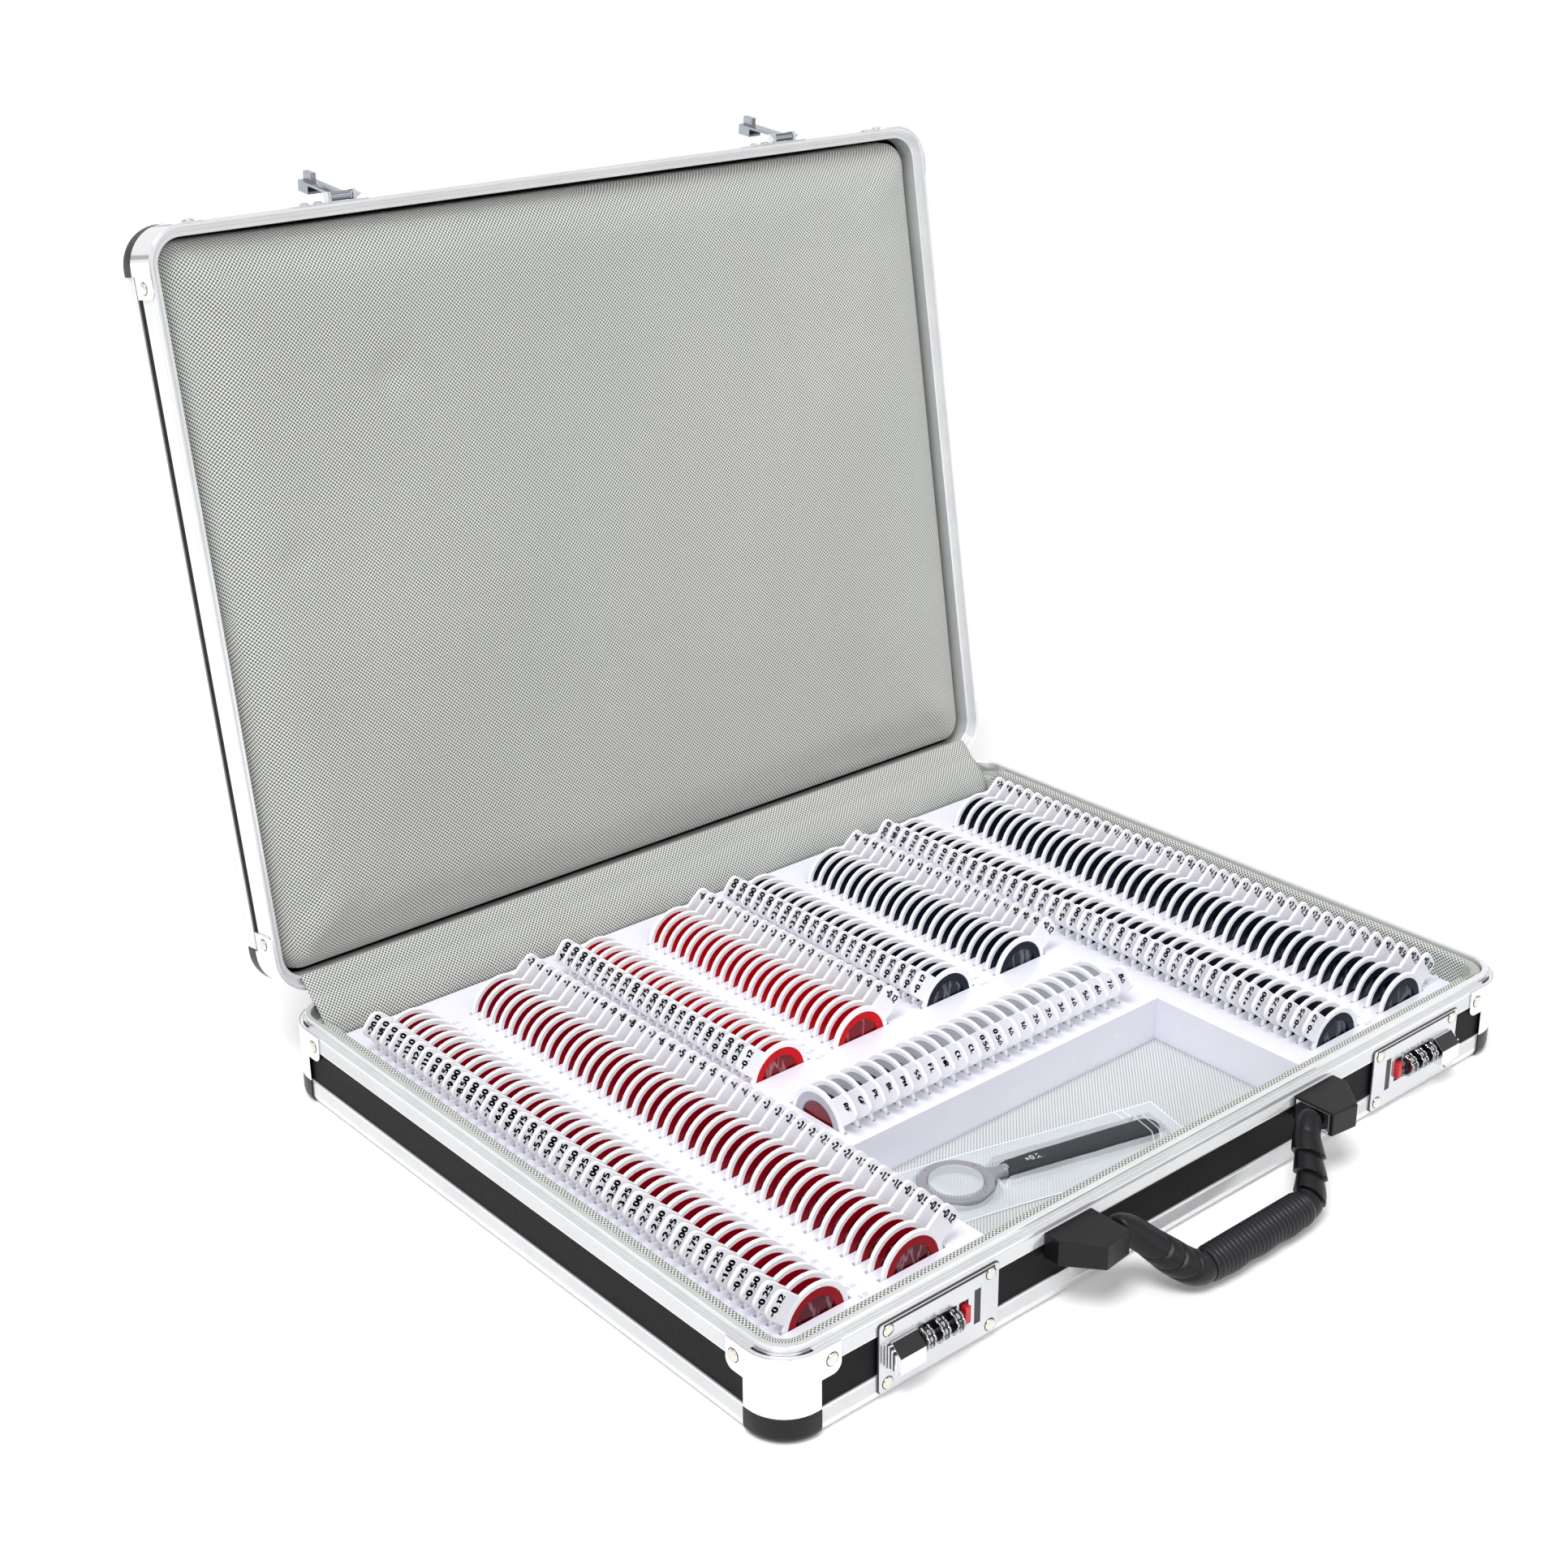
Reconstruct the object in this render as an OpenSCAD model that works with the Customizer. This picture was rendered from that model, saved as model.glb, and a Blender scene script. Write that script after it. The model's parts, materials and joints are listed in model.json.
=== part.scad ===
// Trial lens set: an aluminium-framed attache case with a tray of trial lenses.
// Frame: +X to the right along the lock side, +Y to the hinge, +Z up.
// Origin: middle of the underside of the case.
// The lid is drawn closed and then turned open about the hinge axis.

/* [Case] */
// Outer width of the case along the lock side
case_w = 520; // [480:5:600]
// Outer depth of the case, lock side to hinge side
case_d = 400; // [385:5:460]
// Height of the base up to the top of its rim tongue
base_h = 47; // [46:0.5:60]
// Height of the lid from its rim step to its outer face
lid_h = 28.2; // [27:0.2:40]
// Radius of the four upright corners
corner_r = 20; // [14:1:24]
// Thickness of the side, floor and lid panels
panel_t = 2.5; // [1.5:0.1:3]
// Wall of the aluminium sections
section_t = 1; // [0.6:0.1:1.2]
// Width of the black band left showing on the base
base_band = 20.2; // [12:0.2:22]
// Width of the black band left showing on the lid
lid_band = 5.9; // [3:0.1:8]
// How far the lid stands open, in degrees
lid_open = 99.3; // [90:0.1:105]

/* [Corners and rivets] */
// Reach of a corner cover along each side
cover_reach = 22.8; // [21:0.2:30]
// Reach of the riveted ears of a corner cover
ear_reach = 34; // [32:0.5:42]
// Sheet thickness of the corner covers and caps
cover_t = 0.9; // [0.5:0.1:1.2]
// Head radius of the rivets
rivet_r = 3; // [2:0.1:3.5]

/* [Lining] */
// Thickness of the cloth-covered lining boards
liner_t = 6; // [3:0.5:8]
// Depth of the lid pad when the lens tabs press it
pad_depth = 17.6; // [10:0.2:18]
// Thickness of the hinge flap cloth
flap_t = 0.8; // [0.4:0.1:1.2]

/* [Lenses] */
// Outer radius of a lens rim
lens_r = 19.25; // [17:0.25:20]
// Outer radius of the coloured retaining ring
ring_r = 16.2; // [15:0.1:16.5]
// Radius of the clear glass
glass_r = 12.3; // [11:0.1:13]
// Thickness of a lens rim
rim_t = 2; // [1.6:0.1:4]
// Thickness of the retaining ring
ring_t = 1.8; // [1.2:0.1:2.8]
// Thickness of the glass
glass_t = 1.2; // [0.8:0.1:2]
// Width of the tab that carries the power
tab_w = 14.5; // [10:0.5:16]
// Reach of the tab from the lens centre
tab_reach = 33; // [29:0.5:34]
// Slope of the tab above the horizontal, in degrees
tab_angle = 40; // [34:1:46]
// Lenses in each long column
long_count = 40; // [20:1:40]
// Lenses in each short column
short_count = 21; // [10:1:21]
// Lenses in the accessory row
accessory_count = 22; // [8:1:22]
// Spacing of the lenses in the accessory row
accessory_pitch = 9.5; // [8:0.05:9.8]

/* [Tray] */
// Height of the tray's top face
tray_z = 30.5; // [29.5:0.5:33]
// Wall of the tray moulding
tray_t = 2; // [1.5:0.1:2.5]
// Length of one lens slot
slot_l = 41; // [40:0.5:50]
// Play of a lens in its slot, each side
slot_play = 0.2; // [0.1:0.05:0.4]
// Half width of the storage compartment
store_half_w = 114.5; // [105:0.5:118]
// Depth of the storage compartment behind the front lining
store_d = 109; // [95:1:112]

/* [Locks and hasps] */
// Middle of the left lock plate from the left end of the case
left_lock_in = 91; // [85:1:105]
// Middle of the right lock plate from the right end of the case
right_lock_in = 83; // [78:1:105]
// Width of a lock plate
lock_w = 72; // [70:1:80]
// Height of a lock plate
lock_h = 35; // [32:0.5:38]
// Sheet thickness of the lock and hasp plates
lock_t = 1.2; // [0.8:0.1:1.5]
// Radius of the number dials
dial_r = 6; // [5:0.1:6.4]
// Spacing of the number dials
dial_pitch = 8.8; // [8:0.1:9]
// Turn of the left hasp back from its latched place, in degrees
left_hasp_turn = 165; // [90:5:165]
// Turn of the right hasp back from its latched place, in degrees
right_hasp_turn = 165; // [90:5:165]

/* [Handle] */
// Place of the middle of the handle along the front
handle_x = 2; // [-10:1:10]
// Distance between the two handle brackets
bracket_span = 148; // [130:1:160]
// Reach of the handle from its pivot to the grip's middle
handle_reach = 33; // [28:1:40]
// Radius of the grip
grip_r = 9.5; // [8:0.5:11]
// Length of the grip
grip_l = 72; // [60:1:90]
// Number of rings on the grip
grip_rings = 26; // [12:1:30]

/* [Cross cylinder] */
// Outer radius of the flip lens ring
flip_r = 19; // [16:0.5:20]
// Length of the flip lens handle
flip_handle_l = 90; // [60:1:92]
// Turn of the flip lens on the compartment floor, in degrees
flip_turn = -14.5; // [-16:0.5:-10]

/* [Hidden] */
$fn = 48;
eps = 0.01;

// Heights of the base, from the underside up
web_t = 1.5;                          // bottom web of the foot section
tongue_h = 4;                         // rim tongue above its outer band
base_band_top = base_h - tongue_h;    // top of the outer rim band
rim_leg = 9.75;                       // outer leg of the rim section
foot_leg = base_band_top - rim_leg - base_band;
foot_web_in = 12;                     // reach of the foot section inwards
floor_top = web_t + panel_t;
// Insets of the pieces from the outer face
tongue_out = 2.9;
tongue_in = 5.9;
panel_in = section_t + panel_t;
liner_out = tongue_in + 0.1;
liner_in = liner_out + liner_t;
liner_top = base_h - 1.5;
// Heights of the lid, drawn closed
lid_gap = 0.4;                        // rim faces apart when closed
skirt_gap = 0.5;                      // lid skirt above the base band
skirt_t = 1.6;
lid_z = base_h + lid_gap;
lid_top = lid_z + lid_h;
skirt_z = base_band_top + skirt_gap;
lid_rim_leg = 11.6;
lid_band_z = lid_z + lid_rim_leg;
lid_edge_z = lid_band_z + lid_band;
pad_z = lid_top - web_t - panel_t - pad_depth;
pad_front = 13.3;
pad_side = 7.8;
pad_back = 6.1;
// Piano hinge on the back face
leaf_t = 1.2;
leaf_h = 9.5;
knuckle_r = 3;
hinge_pin_r = 1.5;
hinge_off = 4;
hinge_y = case_d / 2 + hinge_off;
hinge_z = base_h + lid_gap / 2;
hinge_half = case_w / 2 - ear_reach - 11;
knuckles = 12;
knuckle_gap = 0.4;
run_play = 0.06;                      // radial play of a running fit
// Tray and lens places
lens_z = tray_z - 2.5;
tray_gap = 0.2;                       // tray clear of the lining
flap_room = 7.4;                      // left behind the tray for the flap
tray_in = liner_in + tray_gap;
tray_half_w = case_w / 2 - tray_in;
tray_front = -case_d / 2 + tray_in;
tray_back = case_d / 2 - liner_in - flap_room;
column_shift = -1.5;
sphere_outer_x = 0.8507 * tray_half_w; // columns at shares of the half width
sphere_inner_x = 0.6182 * tray_half_w;
cylinder_outer_x = 0.3567 * tray_half_w;
cylinder_inner_x = 0.1299 * tray_half_w;
long_back_y = tray_back - 26.2;
long_front_y = tray_front + 19.7;
short_back_y = tray_back - 25.4;
accessory_y = tray_front + store_d + 30;
short_front_y = accessory_y + 47;
long_pitch = (long_back_y - long_front_y) / (long_count - 1);
short_pitch = (short_back_y - short_front_y) / (short_count - 1);
accessory_shift = -4.7;
tab_round = 5;
rail_w = 12;
slot_w = rim_t + 2 * slot_play;
// Lock layout, from the middle of the plate towards the slot side
left_lock_x = -case_w / 2 + left_lock_in;
right_lock_x = case_w / 2 - right_lock_in;
lock_z = 21.5;
lock_corner = 2;
lock_rivet_x = 31;
lock_rivet_z = 13.5;
dial_first = -10.3;
dial_w = 4.8;
dial_axle_r = 1.2;
dial_y = -case_d / 2 - lock_t - 0.5;
ear_t = 1.4;
dial_gap = 0.4;
dial_end = dial_first + 2 * dial_pitch + dial_w / 2;
window_x0 = dial_first - dial_w / 2 - dial_gap - ear_t;
window_x1 = 17.3;
window_h = 2 * dial_r + 1.2;
lever_x0 = 13.4;
lever_x1 = 16.9;
lever_h = 9;
keeper_x = 23;                        // middle of the hasp slot
keeper_w = 4;
keeper_h = 18;
button_x0 = -31.5;
button_x1 = window_x0 - 0.5;
button_h = 14;
button_d = 7;
button_travel = 5;
stem_w = 5;
stem_h = 3.4;
// Hasps, drawn latched on the closed lid
hasp_y = -case_d / 2 - 3.4;
hasp_z = skirt_z + 8;
hasp_pin_r = 1.2;
hasp_sleeve_r = 2.4;
hasp_sleeve_l = 12.6;
hasp_arm_w = 9;
hasp_arm_t = 1.4;
hasp_reach = hasp_z - lock_z + 4.5;
hasp_block_h = 10;
hasp_tongue_w = 3.2;
hasp_tongue_h = 8;
hasp_tongue_d = 4.6;
mount_left = 26;
mount_right = 14;
mount_t = 0.8;
mount_ear = 1.8;
mount_low = 5;
mount_high = 7;
mount_rivet_in = 5;
mount_rivet_step = 8;
pin_tip_l = 4;
// Handle and its brackets
handle_z = base_h - 14;
handle_y = -case_d / 2 - 14;
bracket_w = 31;
bracket_d = 26;
bracket_z0 = handle_z - 6.5;
bracket_z1 = handle_z + 6.5;
handle_pin_r = 2.5;
pin_in = 6;
arm_r = 7.4;
arm_play = 1.2;
grip_core = 1.1;
handle_hang = acos((handle_z - grip_r - 0.4) / handle_reach);
// Cross cylinder and its bag
flip_x = -72;
flip_in = 74.7;                       // from the compartment's front wall
flip_y = tray_front + flip_in;
flip_t = 4;
flip_glass_r = flip_r - 4.6;
flip_neck = 9;
flip_neck_r = 3;
flip_handle_w = 14;
flip_handle_t = 7;
bag_wall = 0.4;
bag_play = 0.5;
bag_head = 4;                         // bag past the ring
bag_end = 12;                         // bag past the handle
bag_side = 6;                         // bag beside the ring
floor_cloth_t = 1;
flip_z = floor_top + floor_cloth_t + bag_wall + bag_play + flip_handle_t / 2;

// Outline of the case, moved inwards by the inset
module outline(inset) {
  r = corner_r - inset;
  w = case_w - 2 * inset;
  d = case_d - 2 * inset;
  square([w - 2 * r, d], center = true);
  square([w, d - 2 * r], center = true);
  for (x = [-1, 1], y = [-1, 1])
    translate([x * (w / 2 - r), y * (d / 2 - r)]) circle(r = r);
}

// Closed ring between two insets and two heights
module ring(inset0, inset1, z0, z1) {
  translate([0, 0, z0]) linear_extrude(z1 - z0) difference() {
    outline(inset0);
    outline(inset1);
  }
}

module slab(inset, z0, z1) {
  translate([0, 0, z0]) linear_extrude(z1 - z0) outline(inset);
}

// Box from two opposite corners
module block(a, b) {
  translate(a) cube(b - a);
}

module tube_x(r, x0, x1) {
  translate([x0, 0, 0]) rotate([0, 90, 0]) cylinder(r = r, h = x1 - x0);
}

// Straight round bar between two points
module bar(p, q, r) {
  d = q - p;
  translate(p)
    rotate([0, acos(d[2] / norm(d)), atan2(d[1], d[0])])
      cylinder(r = r, h = norm(d));
}

// Turns what is drawn on the closed lid to the open lid
module on_lid() {
  translate([0, hinge_y, hinge_z]) rotate([-lid_open, 0, 0])
    translate([0, -hinge_y, -hinge_z]) children();
}

// Copies to the four corners, each turned so that it sits on +X +Y
module at_corners() {
  for (x = [-1, 1], y = [-1, 1])
    scale_sign(x, y) children();
}

module scale_sign(x, y) {
  mirror([x < 0 ? 1 : 0, 0, 0]) mirror([0, y < 0 ? 1 : 0, 0]) children();
}

// Block that holds one corner of the case
module corner_zone(z0, z1, reach) {
  block([case_w / 2 - reach, case_d / 2 - reach, z0],
        [case_w / 2 + 2, case_d / 2 + 2, z1]);
}

// Ear outline on a side face, with a rounded far lower corner
module ear_zone(z0, z1, reach) {
  r = 5;
  linear_extrude(30) {
    translate([-reach, z0 + r]) square([reach + 2, z1 - z0 - r]);
    translate([-reach + r, z0]) square([reach - r + 2, r + eps]);
    translate([-reach + r, z0 + r]) circle(r = r);
  }
}

module ears(z0, z1, reach) {
  translate([case_w / 2, case_d / 2 - 28, 0]) rotate([90, 0, 180])
    mirror([1, 0, 0]) ear_zone(z0, z1, reach);
  translate([case_w / 2 - 28, case_d / 2, 0]) rotate([90, 0, 90])
    ear_zone(z0, z1, reach);
}

module corner_cover(z0, z1, ear0, ear1) {
  intersection() {
    ring(-cover_t, 0, min(z0, ear0), max(z1, ear1));
    union() {
      corner_zone(z0, z1, cover_reach);
      ears(ear0, ear1, ear_reach);
    }
  }
}

module dome(r) {
  cylinder(r = r, h = 0.5);
  translate([0, 0, 0.5 - eps]) cylinder(r1 = r, r2 = r * 0.6, h = 0.8);
}

// Two rivets of one corner cover, at height z
module corner_rivets(z) {
  step = ear_reach - 5.5;
  translate([case_w / 2 - step, case_d / 2 + cover_t, z])
    rotate([-90, 0, 0]) dome(rivet_r);
  translate([case_w / 2 + cover_t, case_d / 2 - step, z])
    rotate([0, 90, 0]) dome(rivet_r);
}

// ---- base of the case ----

module base_floor_panel() {
  color("#2a292e") union() {
    slab(panel_in, web_t, floor_top);
    slab(foot_web_in, 0, web_t + eps);
  }
}

module base_side_panels() {
  color("#2a292e") difference() {
    ring(section_t, panel_in, web_t, base_band_top - web_t);
    lock_places() lock_cuts();
  }
}

module base_rim_frame() {
  leg_z = base_band_top - rim_leg;
  color("#c9cacc") union() {
    ring(0, section_t, leg_z, base_band_top);
    ring(section_t - eps, tongue_in, base_band_top - web_t, base_band_top);
    ring(panel_in, tongue_in, leg_z, base_band_top - web_t + eps);
    ring(tongue_out, tongue_in, base_band_top - eps, base_h);
  }
}

module base_foot_frame() {
  color("#c9cacc") union() {
    ring(0, section_t, 0, foot_leg);
    ring(section_t - eps, foot_web_in, 0, web_t);
  }
}

module base_corner_covers() {
  ear_z = base_band_top - rim_leg - 5.6;
  color("#e4e6e8") at_corners()
    corner_cover(foot_leg, base_band_top, ear_z, base_band_top);
}

module base_corner_caps() {
  color("#1c1c20") at_corners() intersection() {
    ring(-cover_t, 0, 0, foot_leg);
    corner_zone(0, foot_leg, cover_reach);
  }
}

module base_rivets() {
  color("#d9d4c6") at_corners() corner_rivets(base_band_top - rim_leg + 2.6);
}

module base_liner() {
  back_top = base_h - 8;
  color("#b9bab4") difference() {
    ring(liner_out, liner_in, floor_top, liner_top);
    block([-case_w, tray_back, back_top], [case_w, case_d, base_h]);
  }
}

// ---- tray ----

// Places of the lenses, front to back, of one column
function column_y(count, pitch, back) =
  [for (i = [0 : count - 1]) back - (count - 1 - i) * pitch];
long_y = column_y(long_count, long_pitch, long_back_y);
short_y = column_y(short_count, short_pitch, short_back_y);
accessory_x = [for (i = [0 : accessory_count - 1])
  accessory_shift + (i - (accessory_count - 1) / 2) * accessory_pitch];

module slots(x, rows) {
  for (y = rows)
    translate([column_shift + x, y, tray_z])
      cube([slot_l, slot_w, 4 * tray_t], center = true);
}

module lens_tray() {
  skirt = floor_top + 0.1;
  color("#e8e8f2") union() {
    difference() {
      intersection() {
        slab(tray_in, skirt, tray_z);
        block([-case_w, tray_front, skirt], [case_w, tray_back, tray_z]);
      }
      tray_hollow();
      block([-store_half_w, tray_front - 1, 0],
            [store_half_w, tray_front + store_d, tray_z + 1]);
      all_slots();
    }
    tray_rails(skirt);
  }
}

// Underside of the tray, left of, right of and behind the compartment
module tray_hollow() {
  top = tray_z - tray_t;
  side = store_half_w + tray_t;
  y1 = tray_back - tray_t;
  intersection() {
    slab(tray_in + tray_t, 0, top);
    union() {
      for (s = [-1, 1]) scale_sign(s, 1)
        block([side, tray_front + tray_t, 0], [case_w, y1, top]);
      block([-side - eps, tray_front + store_d + tray_t, 0], [side + eps, y1, top]);
    }
  }
}

// Rails that the lenses stand on, under each column and the accessory row
module tray_rails(z0) {
  top = lens_z - lens_r - 0.1;
  for (x = [-sphere_outer_x, -sphere_inner_x, sphere_inner_x, sphere_outer_x])
    block([column_shift + x - rail_w / 2, tray_front + tray_t - eps, z0],
          [column_shift + x + rail_w / 2, tray_back - tray_t + eps, top]);
  for (x = [-cylinder_outer_x, -cylinder_inner_x, cylinder_inner_x, cylinder_outer_x])
    block([column_shift + x - rail_w / 2, accessory_y + rail_w, z0],
          [column_shift + x + rail_w / 2, tray_back - tray_t + eps, top]);
  block([-store_half_w - tray_t - eps, accessory_y - rail_w / 2, z0],
        [store_half_w + tray_t + eps, accessory_y + rail_w / 2, top]);
}

module all_slots() {
  union() {
    for (s = [-1, 1]) {
      slots(s * sphere_outer_x, long_y);
      slots(s * sphere_inner_x, long_y);
      slots(s * cylinder_outer_x, short_y);
      slots(s * cylinder_inner_x, short_y);
    }
    for (x = accessory_x)
      translate([x, accessory_y, tray_z])
        cube([slot_w, slot_l, 4 * tray_t], center = true);
  }
}

module compartment_floor() {
  color("#b4baba")
    block([-store_half_w + 0.1, tray_front, floor_top],
          [store_half_w - 0.1, tray_front + store_d - 0.1,
           floor_top + floor_cloth_t]);
}

// ---- lenses ----

// Rim and tab of one lens, seen along its axis, tab to +X
module holder_outline() {
  difference() {
    union() {
      circle(r = lens_r);
      rotate(tab_angle) {
        translate([glass_r, -tab_w / 2])
          square([tab_reach - tab_round - glass_r, tab_w]);
        translate([glass_r, -tab_w / 2 + tab_round])
          square([tab_reach - glass_r, tab_w - 2 * tab_round]);
        for (s = [-1, 1])
          translate([tab_reach - tab_round, s * (tab_w / 2 - tab_round)])
            circle(r = tab_round);
      }
    }
    circle(r = ring_r);
  }
}

// Stands what is drawn along the lens axis upright, side 1 or -1
module stand_lens(side) {
  mirror([side < 0 ? 1 : 0, 0, 0]) rotate([90, 0, 0]) children();
}

module holder() {
  translate([0, 0, -rim_t / 2]) linear_extrude(rim_t) holder_outline();
}

module lens_disc() {
  translate([0, 0, -ring_t / 2]) difference() {
    cylinder(r = ring_r, h = ring_t);
    translate([0, 0, -1]) cylinder(r = glass_r, h = ring_t + 2);
  }
  translate([0, 0, -glass_t / 2]) cylinder(r = glass_r, h = glass_t);
}

// One column of lenses; its tabs point to the side given
module column(x, rows, side) {
  for (y = rows)
    translate([column_shift + x, y, lens_z]) stand_lens(side) children();
}

module minus_sphere_holders() {
  color("#f0f0f6") {
    column(-sphere_outer_x, long_y, -1) holder();
    column(-sphere_inner_x, long_y, 1) holder();
  }
}

module minus_sphere_lenses() {
  color("#a00018") {
    column(-sphere_outer_x, long_y, -1) lens_disc();
    column(-sphere_inner_x, long_y, 1) lens_disc();
  }
}

module minus_cylinder_holders() {
  color("#f0f0f6") {
    column(-cylinder_outer_x, short_y, -1) holder();
    column(-cylinder_inner_x, short_y, 1) holder();
  }
}

module minus_cylinder_lenses() {
  color("#d0101c") {
    column(-cylinder_outer_x, short_y, -1) lens_disc();
    column(-cylinder_inner_x, short_y, 1) lens_disc();
  }
}

module plus_cylinder_holders() {
  color("#f0f0f6") {
    column(cylinder_inner_x, short_y, -1) holder();
    column(cylinder_outer_x, short_y, 1) holder();
  }
}

module plus_cylinder_lenses() {
  color("#101828") {
    column(cylinder_inner_x, short_y, -1) lens_disc();
    column(cylinder_outer_x, short_y, 1) lens_disc();
  }
}

module plus_sphere_holders() {
  color("#f0f0f6") {
    column(sphere_inner_x, long_y, -1) holder();
    column(sphere_outer_x, long_y, 1) holder();
  }
}

module plus_sphere_lenses() {
  color("#101828") {
    column(sphere_inner_x, long_y, -1) lens_disc();
    column(sphere_outer_x, long_y, 1) lens_disc();
  }
}

// The accessory lenses stand across the row, tabs to the front
module accessory_row() {
  for (x = accessory_x)
    translate([x, accessory_y, lens_z]) rotate([0, 0, -90])
      stand_lens(1) children();
}

module accessory_holders() {
  color("#f0f0f6") accessory_row() holder();
}

module accessory_lenses() {
  color("#d8dade") accessory_row() lens_disc();
}

// ---- locks ----

// Puts a lock part on each side; the slot side faces the handle
module left_lock() {
  translate([left_lock_x, 0, 0]) children();
}

module right_lock() {
  translate([right_lock_x, 0, 0]) mirror([1, 0, 0]) children();
}

module lock_places() {
  left_lock() children();
  right_lock() children();
}

// Openings through the case wall behind a lock plate
module lock_cuts() {
  y0 = -case_d / 2 - 10;
  y1 = -case_d / 2 + panel_in + 1;
  block([window_x0 - 0.5, y0, lock_z - window_h / 2 - 0.5],
        [window_x1 + 0.5, y1, lock_z + window_h / 2 + 0.5]);
  block([keeper_x - keeper_w / 2 - 0.5, y0, lock_z - keeper_h / 2],
        [keeper_x + keeper_w / 2 + 0.5, y1, lock_z + keeper_h / 2]);
}

module lock_plate() {
  y0 = -case_d / 2 - lock_t;
  y1 = -case_d / 2;
  stem_mid = (button_x0 + button_x1) / 2;
  difference() {
    union() {
      difference() {
        translate([0, y1, lock_z]) rotate([90, 0, 0])
          linear_extrude(lock_t) rounded(lock_w, lock_h, lock_corner);
        block([window_x0 + ear_t, y0 - 1, lock_z - window_h / 2],
              [window_x1, y1 + 1, lock_z + window_h / 2]);
      }
      // ears that carry the dial axle, the inner one on a bridge
      for (x = [window_x0, dial_end + dial_gap])
        block([x, y0 - 1.5, lock_z - 3], [x + ear_t, y1 + 4, lock_z + 3]);
      block([dial_end + dial_gap, y0, lock_z - window_h / 2 - 1],
            [dial_end + dial_gap + ear_t, y1, lock_z + window_h / 2 + 1]);
    }
    block([keeper_x - keeper_w / 2, y0 - 1, lock_z - keeper_h / 2],
          [keeper_x + keeper_w / 2, y1 + 1, lock_z + keeper_h / 2]);
    block([stem_mid - stem_w / 2 - button_travel - 0.3, y0 - 1,
           lock_z - stem_h / 2 - 0.3],
          [stem_mid + stem_w / 2 + 0.3, y1 + 1, lock_z + stem_h / 2 + 0.3]);
    translate([0, dial_y, lock_z])
      tube_x(dial_axle_r, window_x0 - 1, dial_end + dial_gap + ear_t + 1);
  }
}

// Rounded rectangle about the origin
module rounded(w, h, r) {
  square([w - 2 * r, h], center = true);
  square([w, h - 2 * r], center = true);
  for (x = [-1, 1], y = [-1, 1])
    translate([x * (w / 2 - r), y * (h / 2 - r)]) circle(r = r);
}

module left_lock_plate() {
  color("#dcdee2") left_lock() lock_plate();
}

module right_lock_plate() {
  color("#dcdee2") right_lock() lock_plate();
}

module lock_rivets() {
  color("#d9d4c6") lock_places()
    for (x = [-1, 1], z = [-1, 1])
      translate([x * lock_rivet_x, -case_d / 2 - lock_t,
                 lock_z + z * lock_rivet_z])
        rotate([90, 0, 0]) dome(rivet_r - 0.2);
}

module dial_axle() {
  translate([0, dial_y, lock_z])
    tube_x(dial_axle_r, window_x0, dial_end + dial_gap + ear_t);
}

module left_dial_axle() {
  color("#9a9ca0") left_lock() dial_axle();
}

module right_dial_axle() {
  color("#9a9ca0") right_lock() dial_axle();
}

// Number dial with ten finger notches; i counts from the button
module dial(i) {
  x = dial_first + (i - 1) * dial_pitch;
  translate([x, dial_y, lock_z]) rotate([0, 90, 0]) difference() {
    cylinder(r = dial_r, h = dial_w, center = true);
    cylinder(r = dial_axle_r + run_play, h = dial_w + 1, center = true);
    for (a = [0 : 36 : 324])
      rotate(a) translate([dial_r + 0.4, 0, dial_w / 2 - 1.4])
        cylinder(r = 1, h = dial_w, $fn = 16);
  }
}

module left_dial_1() {
  color("#c8cace") left_lock() dial(1);
}

module left_dial_2() {
  color("#c8cace") left_lock() dial(2);
}

module left_dial_3() {
  color("#c8cace") left_lock() dial(3);
}

module right_dial_1() {
  color("#c8cace") right_lock() dial(1);
}

module right_dial_2() {
  color("#c8cace") right_lock() dial(2);
}

module right_dial_3() {
  color("#c8cace") right_lock() dial(3);
}

module reset_lever() {
  block([lever_x0, -case_d / 2 - lock_t - 2.4, lock_z - lever_h / 2],
        [lever_x1, -case_d / 2 + 2, lock_z + lever_h / 2]);
}

module left_reset_lever() {
  color("#c01020") left_lock() reset_lever();
}

module right_reset_lever() {
  color("#c01020") right_lock() reset_lever();
}

module lock_button() {
  face = -case_d / 2 - lock_t - 0.15;
  mid = (button_x0 + button_x1) / 2;
  block([button_x0, face - button_d, lock_z - button_h / 2],
        [button_x1, face, lock_z + button_h / 2]);
  block([mid - stem_w / 2, face - eps, lock_z - stem_h / 2],
        [mid + stem_w / 2, -case_d / 2 + section_t - 0.1, lock_z + stem_h / 2]);
}

module left_lock_button() {
  color("#e4e6e8") left_lock() lock_button();
}

module right_lock_button() {
  color("#e4e6e8") right_lock() lock_button();
}

// ---- handle ----

// Copies the left side of the handle to both sides when asked
module handle_side(s) {
  translate([handle_x, 0, 0]) mirror([s > 0 ? 1 : 0, 0, 0]) children();
}

module bracket() {
  inner = -bracket_span / 2;
  translate([0, 0, bracket_z0]) difference() {
    linear_extrude(bracket_z1 - bracket_z0)
      translate([inner, -case_d / 2])
        polygon([[0, 0], [-bracket_w, 0], [-bracket_w, -9],
                 [-bracket_w + 14, -bracket_d], [0, -bracket_d + 2]]);
    translate([inner - pin_in - 1, handle_y, handle_z - bracket_z0])
      rotate([0, 90, 0])
        cylinder(r = handle_pin_r + run_play, h = pin_in + 2);
  }
}

module left_handle_bracket() {
  color("#1c1c20") handle_side(-1) bracket();
}

module right_handle_bracket() {
  color("#1c1c20") handle_side(1) bracket();
}

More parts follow.
